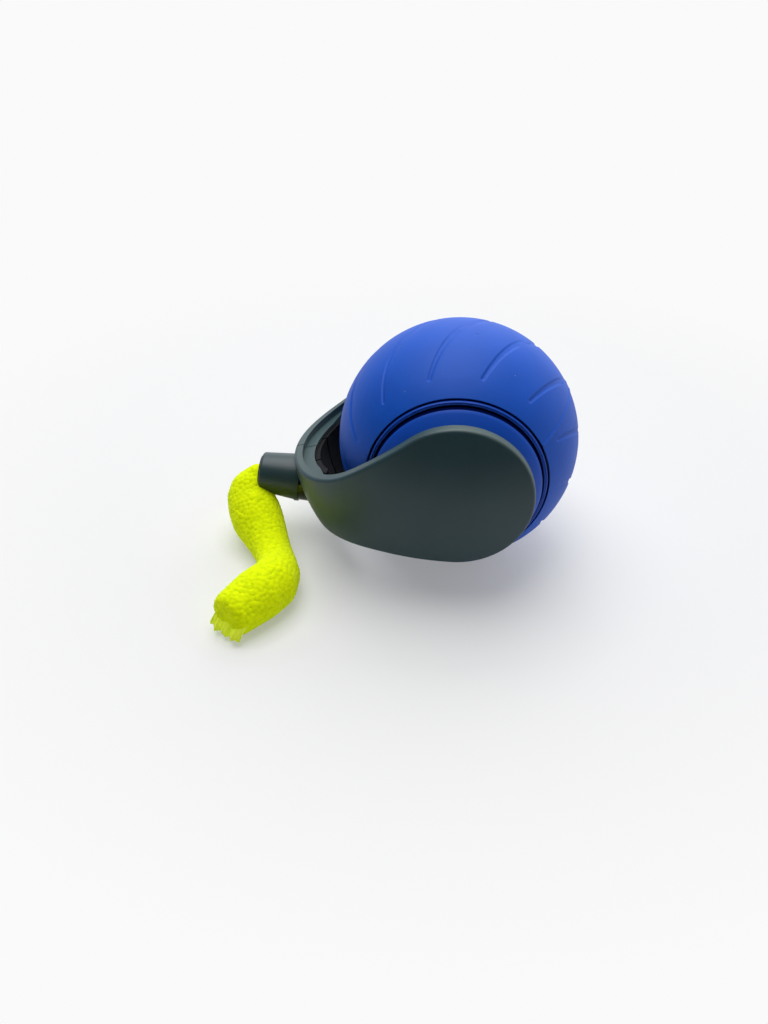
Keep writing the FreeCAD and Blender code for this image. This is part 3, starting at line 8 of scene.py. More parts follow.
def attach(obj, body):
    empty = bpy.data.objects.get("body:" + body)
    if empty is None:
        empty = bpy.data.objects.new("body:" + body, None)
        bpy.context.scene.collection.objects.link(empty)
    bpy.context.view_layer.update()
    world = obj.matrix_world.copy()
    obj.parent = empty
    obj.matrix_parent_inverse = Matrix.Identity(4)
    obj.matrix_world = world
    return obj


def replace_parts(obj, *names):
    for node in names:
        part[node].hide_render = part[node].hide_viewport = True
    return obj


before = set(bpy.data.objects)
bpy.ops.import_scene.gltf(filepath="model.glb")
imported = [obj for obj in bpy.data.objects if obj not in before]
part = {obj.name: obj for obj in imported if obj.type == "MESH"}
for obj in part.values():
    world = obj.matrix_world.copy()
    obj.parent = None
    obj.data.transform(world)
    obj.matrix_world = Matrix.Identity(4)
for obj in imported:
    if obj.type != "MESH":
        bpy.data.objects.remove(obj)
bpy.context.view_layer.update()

scene = bpy.context.scene
millimetre = 0.001

# Studio: the toy stands on a pale sheet that runs out into white, seen from above its near
# side. A large soft lamp hangs over it, a smaller one stands behind, and the room is bright at
# the back and dim in front.
eye = bpy.data.cameras.new("camera")
eye.sensor_fit = "VERTICAL"
eye.sensor_height = 36
eye.lens = 29.02
camera = bpy.data.objects.new("camera", eye)
camera.location = (-0.0039, -0.2155, 0.1542)
camera.rotation_euler = Euler([math.radians(a) for a in (55.784, -0.371, 4.960)])
scene.collection.objects.link(camera)
scene.camera = camera
scene.view_settings.view_transform = "Standard"

sheet_mesh = bpy.data.meshes.new("pale_sheet")
sheet_corners = [(-0.25, -0.15, 0), (0.24, -0.15, 0), (0.24, 0.3, 0), (-0.25, 0.3, 0)]
sheet_mesh.from_pydata(sheet_corners, [], [(0, 1, 2, 3)])
sheet = bpy.data.objects.new("pale_sheet", sheet_mesh)
scene.collection.objects.link(sheet)
paper = bpy.data.materials.new("pale_paper")
paper.use_nodes = True
tree = paper.node_tree
paper_shader = tree.nodes["Principled BSDF"]
paper_shader.inputs["Base Color"].default_value = (0.77, 0.77, 0.77, 1)
paper_shader.inputs["Roughness"].default_value = 0.8
white = (0.955, 0.955, 0.96, 1)
glow = tree.nodes.new("ShaderNodeEmission")
glow.inputs["Color"].default_value = white
seen = tree.nodes.new("ShaderNodeLightPath")
spread = tree.nodes.new("ShaderNodeTexCoord")
from_middle = tree.nodes.new("ShaderNodeVectorMath")
from_middle.operation = "SUBTRACT"
from_middle.inputs[1].default_value = (-0.01, 0.06, 0)
reach = tree.nodes.new("ShaderNodeVectorMath")
reach.operation = "LENGTH"
fade = tree.nodes.new("ShaderNodeMapRange")
fade.inputs["From Min"].default_value = 0.12
fade.inputs["From Max"].default_value = 0.2
fade.inputs["To Min"].default_value = 0.3
fade.inputs["To Max"].default_value = 1.0
share = tree.nodes.new("ShaderNodeMath")
share.operation = "MULTIPLY"
tree.links.new(spread.outputs["Object"], from_middle.inputs[0])
tree.links.new(from_middle.outputs["Vector"], reach.inputs[0])
tree.links.new(reach.outputs["Value"], fade.inputs["Value"])
tree.links.new(fade.outputs["Result"], share.inputs[1])
mixed = tree.nodes.new("ShaderNodeMixShader")
tree.links.new(seen.outputs["Is Camera Ray"], share.inputs[0])
tree.links.new(share.outputs[0], mixed.inputs[0])
tree.links.new(paper_shader.outputs[0], mixed.inputs[1])
tree.links.new(glow.outputs[0], mixed.inputs[2])
tree.links.new(mixed.outputs[0], tree.nodes["Material Output"].inputs["Surface"])
sheet_mesh.materials.append(paper)

room = bpy.data.worlds.new("room")
room.use_nodes = True
scene.world = room
tree = room.node_tree
fill = tree.nodes["Background"]
fill.inputs["Color"].default_value = (0.95, 0.97, 1.0, 1)
way = tree.nodes.new("ShaderNodeTexCoord")
backward = tree.nodes.new("ShaderNodeVectorMath")
backward.operation = "DOT_PRODUCT"
backward.inputs[1].default_value = (0.34, 0.94, 0)
tree.links.new(way.outputs["Generated"], backward.inputs[0])
brighter = tree.nodes.new("ShaderNodeMapRange")
brighter.inputs["From Min"].default_value = -0.25
brighter.inputs["From Max"].default_value = 0.9
brighter.inputs["To Min"].default_value = 0.02
brighter.inputs["To Max"].default_value = 1.25
tree.links.new(backward.outputs["Value"], brighter.inputs["Value"])
tree.links.new(brighter.outputs["Result"], fill.inputs["Strength"])
backdrop = tree.nodes.new("ShaderNodeBackground")
backdrop.inputs["Color"].default_value = white
seen = tree.nodes.new("ShaderNodeLightPath")
mixed = tree.nodes.new("ShaderNodeMixShader")
tree.links.new(seen.outputs["Is Camera Ray"], mixed.inputs[0])
tree.links.new(fill.outputs[0], mixed.inputs[1])
tree.links.new(backdrop.outputs[0], mixed.inputs[2])
tree.links.new(mixed.outputs[0], tree.nodes["World Output"].inputs["Surface"])

lit_spot = Vector((0, 0, 0.03))
for name, place, width, power in (
    ("lamp_over", (-0.12, 0.12, 1.0), 0.9, 9),
    ("lamp_behind", (0.15, 0.95, 0.75), 0.8, 2),
):
    light = bpy.data.lights.new(name, "AREA")
    light.size = width
    light.energy = power
    lamp = bpy.data.objects.new(name, light)
    lamp.location = place
    lamp.rotation_euler = (lit_spot - Vector(place)).to_track_quat("-Z", "Y").to_euler()
    scene.collection.objects.link(lamp)


# Materials: what the plastics, the rubber, the metals and the knits below are made with.
def clouded(material, tints, scale, detail, stops):
    """Let a material's colour drift in soft clouds between two tints."""
    nodes, links = material.node_tree.nodes, material.node_tree.links
    place = nodes.new("ShaderNodeTexCoord")
    cloud = nodes.new("ShaderNodeTexNoise")
    cloud.inputs["Scale"].default_value = scale
    cloud.inputs["Detail"].default_value = detail
    links.new(place.outputs["Object"], cloud.inputs["Vector"])
    ramp = nodes.new("ShaderNodeValToRGB")
    for element, stop, tint in zip(ramp.color_ramp.elements, stops, tints):
        element.position = stop
        element.color = (*tint, 1)
    links.new(cloud.outputs["Fac"], ramp.inputs["Fac"])
    links.new(ramp.outputs["Color"], nodes["Principled BSDF"].inputs["Base Color"])


def moulded(name, colour, roughness, grain=0.02, grain_size=0.0012, mottle=0.04):
    """Moulded plastic or rubber: a fine eroded grain and slight cloudiness of the colour."""
    made = bpy.data.materials.new(name)
    made.use_nodes = True
    nodes, links = made.node_tree.nodes, made.node_tree.links
    shader = nodes["Principled BSDF"]
    shader.inputs["Roughness"].default_value = roughness
    darker = [c * (1 - mottle) for c in colour]
    paler = [min(1, c * (1 + mottle)) for c in colour]
    clouded(made, (darker, paler), 90, 3, (0.3, 0.7))
    fine = nodes.new("ShaderNodeTexNoise")
    fine.inputs["Scale"].default_value = 1 / grain_size
    fine.inputs["Detail"].default_value = 2
    links.new(nodes["Texture Coordinate"].outputs["Object"], fine.inputs["Vector"])
    bump = nodes.new("ShaderNodeBump")
    bump.inputs["Strength"].default_value = 0.4
    bump.inputs["Distance"].default_value = grain * millimetre
    links.new(fine.outputs["Fac"], bump.inputs["Height"])
    links.new(bump.outputs["Normal"], shader.inputs["Normal"])
    return made


def metal(name, colour, roughness, streak=(1, 1, 1)):
    """Worked metal with fine tool marks along one direction."""
    made = moulded(name, colour, roughness, 0.01, 0.0004, 0.06)
    nodes, links = made.node_tree.nodes, made.node_tree.links
    nodes["Principled BSDF"].inputs["Metallic"].default_value = 1
    stretch = nodes.new("ShaderNodeMapping")
    stretch.inputs["Scale"].default_value = streak
    place = nodes["Texture Coordinate"]
    links.new(place.outputs["Object"], stretch.inputs["Vector"])
    for texture in (n for n in list(nodes) if n.bl_idname == "ShaderNodeTexNoise"):
        links.new(stretch.outputs["Vector"], texture.inputs["Vector"])
    return made


def finish(material, *names):
    """Give one material to whole CAD pieces."""
    for name in names:
        slots = part[name].material_slots
        for slot in slots:
            slot.material = material
        if not slots:
            part[name].data.materials.append(material)


# Chassis inside the ball: a moulded cradle holds the geared motor, the cell, the board and
# the steel weight. It hangs on the axle and stays level while the ball turns round it.
natural = moulded("natural_nylon", (0.62, 0.62, 0.58), 0.45)
finish(natural, "chassis_cradle", "gearbox_cover", "far_spigot")
steel = metal("bright_steel", (0.6, 0.6, 0.62), 0.3, (1, 6, 1))
finish(steel, "motor_can", "motor_shaft", "idler_pin", "near_arm_screw", "far_arm_screws")
finish(steel, "gearbox_screws", "motor_screws", "far_flange_screws", "ring_gear_screws")
finish(metal("plated_weight", (0.42, 0.43, 0.45), 0.42), "steel_weight")
finish(moulded("motor_cap_black", (0.02, 0.02, 0.022), 0.4), "motor_end_cap")
finish(moulded("cell_wrap", (0.25, 0.42, 0.5), 0.25, 0.01), "battery_cell")
solder_mask = moulded("solder_mask", (0.01, 0.09, 0.035), 0.3, 0.015, 0.0006)
finish(solder_mask, "control_board", "switch_board")
finish(moulded("chip_resin", (0.015, 0.015, 0.016), 0.5), "board_chips", "tilt_sensor", "power_switch")

# Gear train: the motor's brass pinion drives a double idler on a steel pin, which turns the
# ring gear that is screwed to the near hub. All plastic gears are moulded in acetal.
acetal = moulded("acetal", (0.78, 0.77, 0.7), 0.35, 0.01)
finish(acetal, "ring_gear", "idler_gear")
brass = metal("turned_brass", (0.72, 0.52, 0.2), 0.28, (1, 8, 1))
finish(brass, "motor_pinion", "near_bush", "far_bush")

# Hard shell: two half shells moulded in blue plastic. They lap at the middle of the ball and
# carry the rubber sleeve.
finish(moulded("shell_plastic", (0.05, 0.1, 0.3), 0.5), "near_shell", "far_shell")

# Rubber sleeve: one skin of matte blue silicone, stretched over the hard shell. Curved tread
# marks, the parting line of the mould and a small vent pip are moulded into it.
ball_radius = 0.035
ball_middle = ball_radius
skin_drop = 0.0001
end_radius = 0.02505
mark_count = 13
mark_depth = 0.00033
mark_half = 0.01285
mark_bow = 0.0014
mark_narrow = 0.00055
mark_wide = 0.00125
mark_polar = math.radians(75)
mark_slant = math.radians(-26.6)
mark_start = math.radians(95.8)
mark_soft_edge = 0.0008
mark_crisp_edge = 0.00042
mark_sunk_share = 0.35
mark_fade_from = 0.45
mark_fade_over = 0.5
mark_fade = 0.9
mark_nowhere = 1.0
lip_out = 0.0006
lip_width = 0.0004
lip_height = 0.00002
parting_angles = (29.5, 209.5)
parting_width = 0.0003
parting_height = 0.00028
pip_polar = math.radians(82.4)
pip_turn = math.radians(84.5)
pip_width = 0.0003
pip_depth = 0.00018
bow_radius = (mark_half ** 2 + mark_bow ** 2) / (2 * mark_bow)
bow_reach = math.asin(mark_half / bow_radius)


def mark_distance(place, side):
    """Distance from the nearest tread mark's edge, how far to its outer side, and how far along it."""
    nearest = np.full(len(place), mark_nowhere)
    outer = np.zeros(len(place))
    along_it = np.zeros(len(place))
    for index in range(mark_count):
        turn = mark_start + 2 * math.pi * index / mark_count + (math.pi if side > 0 else 0)
        out = np.array([math.cos(turn), 0, math.sin(turn)])
        round_way = np.array([-math.sin(turn), 0, math.cos(turn)]) * -side
        axle = np.array([0, side, 0])
        level = axle * math.cos(mark_polar) + out * math.sin(mark_polar)
        inward = -axle * math.sin(mark_polar) + out * math.cos(mark_polar)
        along, across = place @ inward, place @ round_way
        x = along * math.cos(mark_slant) + across * math.sin(mark_slant)
        y = across * math.cos(mark_slant) - along * math.sin(mark_slant)
        height = y - (mark_bow - bow_radius)
        swing = np.arctan2(x, height)
        held = np.clip(swing, -bow_reach, bow_reach)
        half_width = mark_narrow + (mark_wide - mark_narrow) * (held + bow_reach) / (2 * bow_reach)
        gap_x = x - bow_radius * np.sin(held)
        gap_y = height - bow_radius * np.cos(held)
        gap = np.hypot(gap_x, gap_y)
        edge = gap - half_width
        edge[place @ level < 0] = mark_nowhere
        closer = edge < nearest
        nearest = np.where(closer, edge, nearest)
        outer = np.where(closer, 0.5 + 0.5 * gap_y / np.maximum(gap, 1e-6), outer)
        along_it = np.where(closer, (held + bow_reach) / (2 * bow_reach), along_it)
    return nearest, outer, along_it


def skin_radius(direction):
    """How far out the sleeve's surface lies in each direction from the ball's middle."""
    place = direction * ball_radius
    near_edge, near_outer, near_along = mark_distance(place, -1)
    far_edge, far_outer, far_along = mark_distance(place, 1)
    edge = np.minimum(near_edge, far_edge)
    outer = np.where(near_edge < far_edge, near_outer, far_outer)
    along_it = np.where(near_edge < far_edge, near_along, far_along)
    soft = mark_soft_edge - (mark_soft_edge - mark_crisp_edge) * outer
    dip = np.clip(mark_sunk_share - edge / soft, 0, 1)
    faded = mark_fade * np.clip((along_it - mark_fade_from) / mark_fade_over, 0, 1)
    dip = dip * dip * (3 - 2 * dip) * (1 - faded)
    lip = np.exp(-((edge - lip_out) / lip_width) ** 2)
    seam = np.zeros(len(place))
    for angle in parting_angles:
        turn = math.radians(angle)
        way = np.array([-math.sin(turn), 0, math.cos(turn)])
        ahead = np.array([math.cos(turn), 0, math.sin(turn)])
        seam += np.exp(-((place @ way) / parting_width) ** 2) * (place @ ahead > 0)
    pip_way = np.array([
        math.sin(pip_polar) * math.cos(pip_turn),
        -math.cos(pip_polar),
        math.sin(pip_polar) * math.sin(pip_turn),
    ])
    pip_gap = np.linalg.norm(direction - pip_way, axis=1) * ball_radius
    pip = np.exp(-(pip_gap / pip_width) ** 2)
    raised = parting_height * seam - lip_height * lip
    return ball_radius - skin_drop + raised - mark_depth * dip - pip_depth * pip


around_count = 1040
across_count = 240
end_angle = math.asin(end_radius / ball_radius)
polar = np.linspace(end_angle, math.pi - end_angle, across_count)
azimuth = np.linspace(0, 2 * math.pi, around_count, endpoint=False)
polar_grid, azimuth_grid = np.meshgrid(polar, azimuth, indexing="ij")
direction = np.stack([
    np.sin(polar_grid) * np.cos(azimuth_grid),
    -np.cos(polar_grid),
    np.sin(polar_grid) * np.sin(azimuth_grid),
], -1).reshape(-1, 3)
outside = direction * skin_radius(direction)[:, None]
outside_rows = list(outside.reshape(across_count, around_count, 3))
rolled_edge = [(0.00008, 0.00008), (0.0001, 0.0003), (0.0001, 0.0016)]
near_end = math.sqrt(ball_radius ** 2 - end_radius ** 2)
ring = np.stack([np.cos(azimuth), np.zeros(around_count), np.sin(azimuth)], -1)


def end_rows(side):
    """The sleeve's rolled edge, from its outer skin down into the gap beside the clamp ring."""
    made = []
    for inward, down in rolled_edge:
        row = ring * (end_radius - inward)
        row[:, 1] = side * (near_end - down)
        made.append(row)
    return made


stack = np.array(end_rows(-1)[::-1] + outside_rows + end_rows(1))
count = len(stack)
points = stack.reshape(-1, 3) + (0, 0, ball_middle)
row, column = np.meshgrid(np.arange(count - 1), np.arange(around_count), indexing="ij")
after = (column + 1) % around_count
quads = np.stack([
    row * around_count + column, (row + 1) * around_count + column,
    (row + 1) * around_count + after, row * around_count + after,
], -1).reshape(-1, 4)


def mesh_piece(name, points, faces, material, body):
    """A smooth mesh piece that rides on a CAD body."""
    mesh = bpy.data.meshes.new(name)
    mesh.from_pydata(np.asarray(points).tolist(), [], np.asarray(faces).tolist())
    mesh.polygons.foreach_set("use_smooth", [True] * len(mesh.polygons))
    mesh.materials.append(material)
    piece = bpy.data.objects.new(name, mesh)
    scene.collection.objects.link(piece)
    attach(piece, body)
    return piece


silicone = moulded("blue_silicone", (0.002, 0.092, 0.58), 0.55, 0.035, 0.0004, 0.05)
nodes, links = silicone.node_tree.nodes, silicone.node_tree.links
nodes["Principled BSDF"].inputs["Specular IOR Level"].default_value = 0.26
cells = nodes.new("ShaderNodeTexVoronoi")
cells.inputs["Scale"].default_value = 130
links.new(nodes["Texture Coordinate"].outputs["Object"], cells.inputs["Vector"])
dust = nodes.new("ShaderNodeMath")
dust.operation = "LESS_THAN"
dust.inputs[1].default_value = 0.018
links.new(cells.outputs["Distance"], dust.inputs[0])
dusty = nodes.new("ShaderNodeMix")
dusty.data_type = "RGBA"
dusty.inputs["B"].default_value = (0.25, 0.32, 0.62, 1)
links.new(dust.outputs[0], dusty.inputs["Factor"])
links.new(nodes["Color Ramp"].outputs["Color"], dusty.inputs["A"])
links.new(dusty.outputs["Result"], nodes["Principled BSDF"].inputs["Base Color"])
sleeve = mesh_piece("sleeve_skin", points, quads, silicone, "ball")
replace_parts(sleeve, "tread_sleeve")

# Hub caps: discs of the same blue in hard plastic, one on each side, each with a crowned cover
# that carries on the ball's curve. The deep groove round their edges is painted nearly black as
# painted shade, with its shine turned down there.
groove_radius = 0.02288
groove_edge = 0.00006
hub_blue = moulded("hub_blue", (0.006, 0.095, 0.62), 0.45, 0.015, 0.0005, 0.04)
nodes, links = hub_blue.node_tree.nodes, hub_blue.node_tree.links
level = nodes.new("ShaderNodeVectorMath")
level.operation = "MULTIPLY_ADD"
level.inputs[1].default_value = (1, 0, 1)
level.inputs[2].default_value = (0, 0, -ball_middle)
links.new(nodes["Texture Coordinate"].outputs["Object"], level.inputs[0])
from_axle = nodes.new("ShaderNodeVectorMath")
from_axle.operation = "LENGTH"
links.new(level.outputs["Vector"], from_axle.inputs[0])
past_edge = nodes.new("ShaderNodeMapRange")
past_edge.inputs["From Min"].default_value = groove_radius - groove_edge
past_edge.inputs["From Max"].default_value = groove_radius + groove_edge
links.new(from_axle.outputs["Value"], past_edge.inputs["Value"])
# painted shade: past groove_radius the hub's colour goes nearly black, standing in for the shade in
# the groove
groove_painted_shade = nodes.new("ShaderNodeMix")
groove_painted_shade.data_type = "RGBA"
groove_painted_shade.inputs["B"].default_value = (0.0004, 0.003, 0.04, 1)
links.new(past_edge.outputs["Result"], groove_painted_shade.inputs["Factor"])
links.new(nodes["Color Ramp"].outputs["Color"], groove_painted_shade.inputs["A"])
links.new(groove_painted_shade.outputs["Result"], nodes["Principled BSDF"].inputs["Base Color"])
dulled = nodes.new("ShaderNodeMapRange")
dulled.inputs["To Min"].default_value = 0.3
dulled.inputs["To Max"].default_value = 0.0
links.new(past_edge.outputs["Result"], dulled.inputs["Value"])
links.new(dulled.outputs["Result"], nodes["Principled BSDF"].inputs["Specular IOR Level"])
finish(hub_blue, "near_hub_disc", "far_hub_disc")


def turned_ring(name, section, side, material):
    """A closed ring round the axle, from its section in millimetres of radius and of height."""
    section_rows = []
    for radius, height in section:
        row = ring * (radius * millimetre)
        row[:, 1] = side * height * millimetre
        section_rows.append(row)
    corners = np.array(section_rows).reshape(-1, 3) + (0, 0, ball_middle)
    row, column = np.meshgrid(np.arange(len(section)), np.arange(around_count), indexing="ij")
    below = (row + 1) % len(section)
    after = (column + 1) % around_count
    walls = np.stack([
        row * around_count + column, below * around_count + column,
        below * around_count + after, row * around_count + after,
    ], -1).reshape(-1, 4)
    if side < 0:
        walls = walls[:, ::-1]
    return mesh_piece(name, corners, walls, material, "ball")


crown_edge = 22.9
crown_top = 30.9
crown_round = 35.0
crown_steps = 15
for side, name, crown_inner in ((-1, "near_hub_crown", 12.0), (1, "far_hub_crown", 15.4)):
    crown_section = [(20.0, 26.8), (22.6, 25.9), (22.98, 25.8), (22.98, 26.3)]
    for radius in np.linspace(crown_edge, crown_inner, crown_steps):
        on_round = math.sqrt(crown_round ** 2 - radius ** 2)
        crown_section.append((radius, min(crown_top, on_round)))
    crown_section.append((crown_inner, 27.6))
    turned_ring(name, crown_section, side, hub_blue)

# Clamp rings: turned to a low bead with a fine line cut round its middle. Each is pressed into
# one end of the sleeve and holds the hub cap down.
bead_blue = moulded("bead_blue", (0.003, 0.078, 0.55), 0.5, 0.01, 0.0005, 0.03)
bead_blue.node_tree.nodes["Principled BSDF"].inputs["Specular IOR Level"].default_value = 0.32
bead_section = (
    (24.4, 23.0), (24.4, 24.6), (24.33, 24.86), (24.18, 25.02), (24.0, 25.08),
    (23.95, 25.05), (23.93, 24.85), (23.87, 24.85), (23.85, 25.08), (23.8, 25.14),
    (23.6, 25.18), (23.45, 25.14), (23.36, 25.0), (23.32, 24.6), (23.3, 23.0),
)
for side, name, solid in (
    (-1, "near_ring_bead", "near_clamp_ring"),
    (1, "far_ring_bead", "far_clamp_ring"),
):
    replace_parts(turned_ring(name, bead_section, side, bead_blue), solid)

# Fork: two moulded arms of slate plastic that meet on a lap joint behind the ball. Each has
# a matte eroded surface and an outer face that is part of a large sphere. A painted highlight
# makes the surfaces that face up and back paler, along the upper rim.
face_width = 0.0368
face_round = 0.068
face_middle_reach = 0.0023
rim_way = (0.6, 0, 0.8)
slate = moulded("slate_plastic", (0.028, 0.068, 0.080), 0.42, 0.03, 0.00035, 0.05)
nodes, links = slate.node_tree.nodes, slate.node_tree.links
nodes["Principled BSDF"].inputs["Specular IOR Level"].default_value = 0.42
# painted highlight: faces turned towards rim_way (up and back) are mixed to a paler slate
up_edge = nodes.new("ShaderNodeVectorMath")
up_edge.operation = "DOT_PRODUCT"
up_edge.inputs[1].default_value = rim_way
links.new(nodes["Texture Coordinate"].outputs["Normal"], up_edge.inputs[0])
rim_highlight_mask = nodes.new("ShaderNodeMapRange")
rim_highlight_mask.inputs["From Min"].default_value = 0.4
rim_highlight_mask.inputs["From Max"].default_value = 0.75
links.new(up_edge.outputs["Value"], rim_highlight_mask.inputs["Value"])
painted_rim_highlight = nodes.new("ShaderNodeMix")
painted_rim_highlight.data_type = "RGBA"
painted_rim_highlight.inputs["B"].default_value = (0.08, 0.12, 0.115, 1)
links.new(rim_highlight_mask.outputs["Result"], painted_rim_highlight.inputs["Factor"])
links.new(nodes["Color Ramp"].outputs["Color"], painted_rim_highlight.inputs["A"])
links.new(painted_rim_highlight.outputs["Result"], nodes["Principled BSDF"].inputs["Base Color"])
from_middle = nodes.new("ShaderNodeVectorMath")
from_middle.operation = "DISTANCE"
from_middle.inputs[1].default_value = (0, -face_width, ball_middle)
links.new(nodes["Texture Coordinate"].outputs["Object"], from_middle.inputs[0])
at_middle = nodes.new("ShaderNodeMath")
at_middle.operation = "LESS_THAN"
at_middle.inputs[1].default_value = face_middle_reach
links.new(from_middle.outputs["Value"], at_middle.inputs[0])
from_centre = nodes.new("ShaderNodeVectorMath")
from_centre.operation = "SUBTRACT"
from_centre.inputs[1].default_value = (0, face_round - face_width, ball_middle)
links.new(nodes["Texture Coordinate"].outputs["Object"], from_centre.inputs[0])
outward = nodes.new("ShaderNodeVectorMath")
outward.operation = "NORMALIZE"
links.new(from_centre.outputs["Vector"], outward.inputs[0])
surface = nodes.new("ShaderNodeNewGeometry")
facing = nodes.new("ShaderNodeMix")
facing.data_type = "VECTOR"
links.new(at_middle.outputs[0], facing.inputs["Factor"])
links.new(surface.outputs["Normal"], facing.inputs["A"])
links.new(outward.outputs["Vector"], facing.inputs["B"])
links.new(facing.outputs["Result"], nodes["Bump"].inputs["Normal"])
finish(slate, "near_fork_half", "far_fork_half")

# Liner: panels moulded in dull black plastic and clipped inside the fork's back, with a wedge
# between them.
liner_black = moulded("liner_black", (0.002, 0.0024, 0.0035), 0.55)
liner_black.node_tree.nodes["Principled BSDF"].inputs["Specular IOR Level"].default_value = 0.15
finish(liner_black, "near_liner_panel", "far_liner_panel", "liner_wedge")

# Control face on the far arm: a round blue cover with a push button, a clear light guide and
# a soft plug over the charging socket.
finish(hub_blue, "control_disc", "power_button")
finish(silicone, "port_plug")
finish(moulded("light_guide", (0.8, 0.85, 0.9), 0.15), "status_lens")
finish(steel, "charging_socket")

# Swivel: a glossy black collar and a steel spindle carry the slate tail tube, which turns
# freely; a black plug holds the tail's gathered end in the tube's mouth.
finish(moulded("collar_black", (0.008, 0.009, 0.011), 0.12, 0.004), "swivel_collar")
finish(steel, "swivel_spindle", "swivel_nut")
finish(moulded("tube_slate", (0.026, 0.054, 0.062), 0.4, 0.03, 0.00035, 0.05), "tail_tube")
finish(liner_black, "tail_plug")

# Tail: a stuffed tube of fluorescent knitted plush, gathered into the tube's mouth, sewn flat
# at its far end, and lying on the floor in a loose curve. Its route gives x from the mouth of
# the tube, y, z and a radius, in millimetres. The cloth starts a little inside that radius, and
# its loops stand out from there.
tail_route = (
    (-2.6, 3.2, 16.5, 2.5), (-2.8, 2.2, 15.8, 5.4), (-3.0, -0.4, 14.6, 7.0), (-3.4, -2.8, 12.4, 7.6),
    (-1.8, -6.3, 10.3, 8.2), (0.4, -10.3, 8.1, 8.2), (2.8, -14.0, 6.7, 7.3), (5.2, -18.3, 5.8, 6.4),
    (7.4, -22.8, 5.3, 5.9), (9.4, -27.6, 5.4, 6.0), (10.6, -32.8, 6.1, 6.8), (10.3, -38.3, 6.9, 7.7),
    (7.2, -43.5, 7.0, 7.9), (3.6, -48.4, 6.4, 7.2), (1.6, -51.2, 6.1, 6.8), (0.7, -52.4, 6.0, 6.2),
    (0.4, -52.8, 6.0, 5.2),
)
tail_thinner = 0.5
tube_foot = Vector((-47.45, 0, 18.6))
tube_length = 12.6
tube_tilt = math.radians(6.5)
tube_way = Vector((-math.cos(tube_tilt), 0, math.sin(tube_tilt)))
tail_start = tube_foot + tube_way * tube_length


def stuffed_tube(name, middles, radii, rounds=28):
    """A closed round tube through middle points, in millimetres."""
    corners, walls = [], []
    across = Vector((1, 0, 0))
    for index, middle in enumerate(middles):
        before = middles[max(index - 1, 0)]
        following = middles[min(index + 1, len(middles) - 1)]
        along = (following - before).normalized()
        across = (across - along * across.dot(along)).normalized()
        other = along.cross(across)
        for step in range(rounds):
            turn = 2 * math.pi * step / rounds
            corners.append(middle + (across * math.cos(turn) + other * math.sin(turn)) * radii[index])
    for ring_index in range(len(middles) - 1):
        for step in range(rounds):
            a = ring_index * rounds + step
            b = ring_index * rounds + (step + 1) % rounds
            walls.append((a, b, b + rounds, a + rounds))
    walls.append(tuple(range(rounds))[::-1])
    walls.append(tuple(range((len(middles) - 1) * rounds, len(middles) * rounds)))
    mesh = bpy.data.meshes.new(name)
    mesh.from_pydata([tuple(corner * millimetre) for corner in corners], [], walls)
    made = bpy.data.objects.new(name, mesh)
    scene.collection.objects.link(made)
    return made


def applied(piece):
    """Make a piece's modifiers real in its own mesh."""
    seen_piece = piece.evaluated_get(bpy.context.evaluated_depsgraph_get())
    mesh = bpy.data.meshes.new_from_object(seen_piece)
    piece.modifiers.clear()
    old = piece.data
    piece.data = mesh
    bpy.data.meshes.remove(old)


middles = [Vector((tail_start.x + x, y, z)) for x, y, z, radius in tail_route]
body_radii = [radius - tail_thinner for x, y, z, radius in tail_route]
body_tube = stuffed_tube("tail_plush", middles, body_radii)
tail_gap = 0.3
neck_half = 0.6
gather = tail_start + tube_way * tail_gap + Vector((-2.4, 0.6, -4.2))
below_gather = gather + Vector((-0.6, -0.6, -2.6))
mouth = tail_start + Vector((0, 0.4, -1.5))
neck_middles = [mouth - tube_way * neck_half, mouth + tube_way * neck_half, gather, below_gather]
neck_radii = [3.4, 3.6, 5.0, 5.2]
neck = stuffed_tube("tail_neck", neck_middles, neck_radii)
bpy.ops.object.select_all(action="DESELECT")
neck.select_set(True)
body_tube.select_set(True)
bpy.context.view_layer.objects.active = body_tube
bpy.ops.object.join()
remesh = body_tube.modifiers.new("even_cloth", "REMESH")
remesh.mode = "VOXEL"
remesh.voxel_size = 0.0007
soften = body_tube.modifiers.new("soften", "SMOOTH")
soften.factor = 0.5
soften.iterations = 12
applied(body_tube)
finer = body_tube.modifiers.new("finer", "SUBSURF")
finer.levels = 2
finer.render_levels = 2
applied(body_tube)

mesh = body_tube.data
cloth = np.empty(len(mesh.vertices) * 3)
mesh.vertices.foreach_get("co", cloth)
cloth = cloth.reshape(-1, 3)
normals = np.empty(len(mesh.vertices) * 3)
mesh.vertices.foreach_get("normal", normals)
normals = normals.reshape(-1, 3)
loop_width = 0.00115
loop_height = 0.00042
loop_root = 0.0001
floor_gap = 0.00015
chooser = np.random.default_rng(7)
order = chooser.permutation(len(cloth))
taken = {}
loops = []
for index in order:
    spot = cloth[index]
    key = tuple((spot / loop_width).astype(int))
    close = False
    for dx in (-1, 0, 1):
        for dy in (-1, 0, 1):
            for dz in (-1, 0, 1):
                for other in taken.get((key[0] + dx, key[1] + dy, key[2] + dz), ()):
                    if np.dot(spot - other, spot - other) < loop_width * loop_width:
                        close = True
    if not close:
        taken.setdefault(key, []).append(spot)
        loops.append(spot)
loop_tree = KDTree(len(loops))
for index, spot in enumerate(loops):
    loop_tree.insert(spot, index)
loop_tree.balance()
loop_reach = loop_width * 0.95
gaps = np.array([loop_tree.find(spot)[2] for spot in cloth])
puff = np.sqrt(np.maximum(0.0, 1 - (gaps / loop_reach) ** 2))
cloth = cloth + normals * (puff[:, None] * loop_height - loop_root)
cloth[:, 2] = np.maximum(cloth[:, 2], floor_gap)
mesh.vertices.foreach_set("co", cloth.ravel())
mesh.polygons.foreach_set("use_smooth", [True] * len(mesh.polygons))
mesh.update()


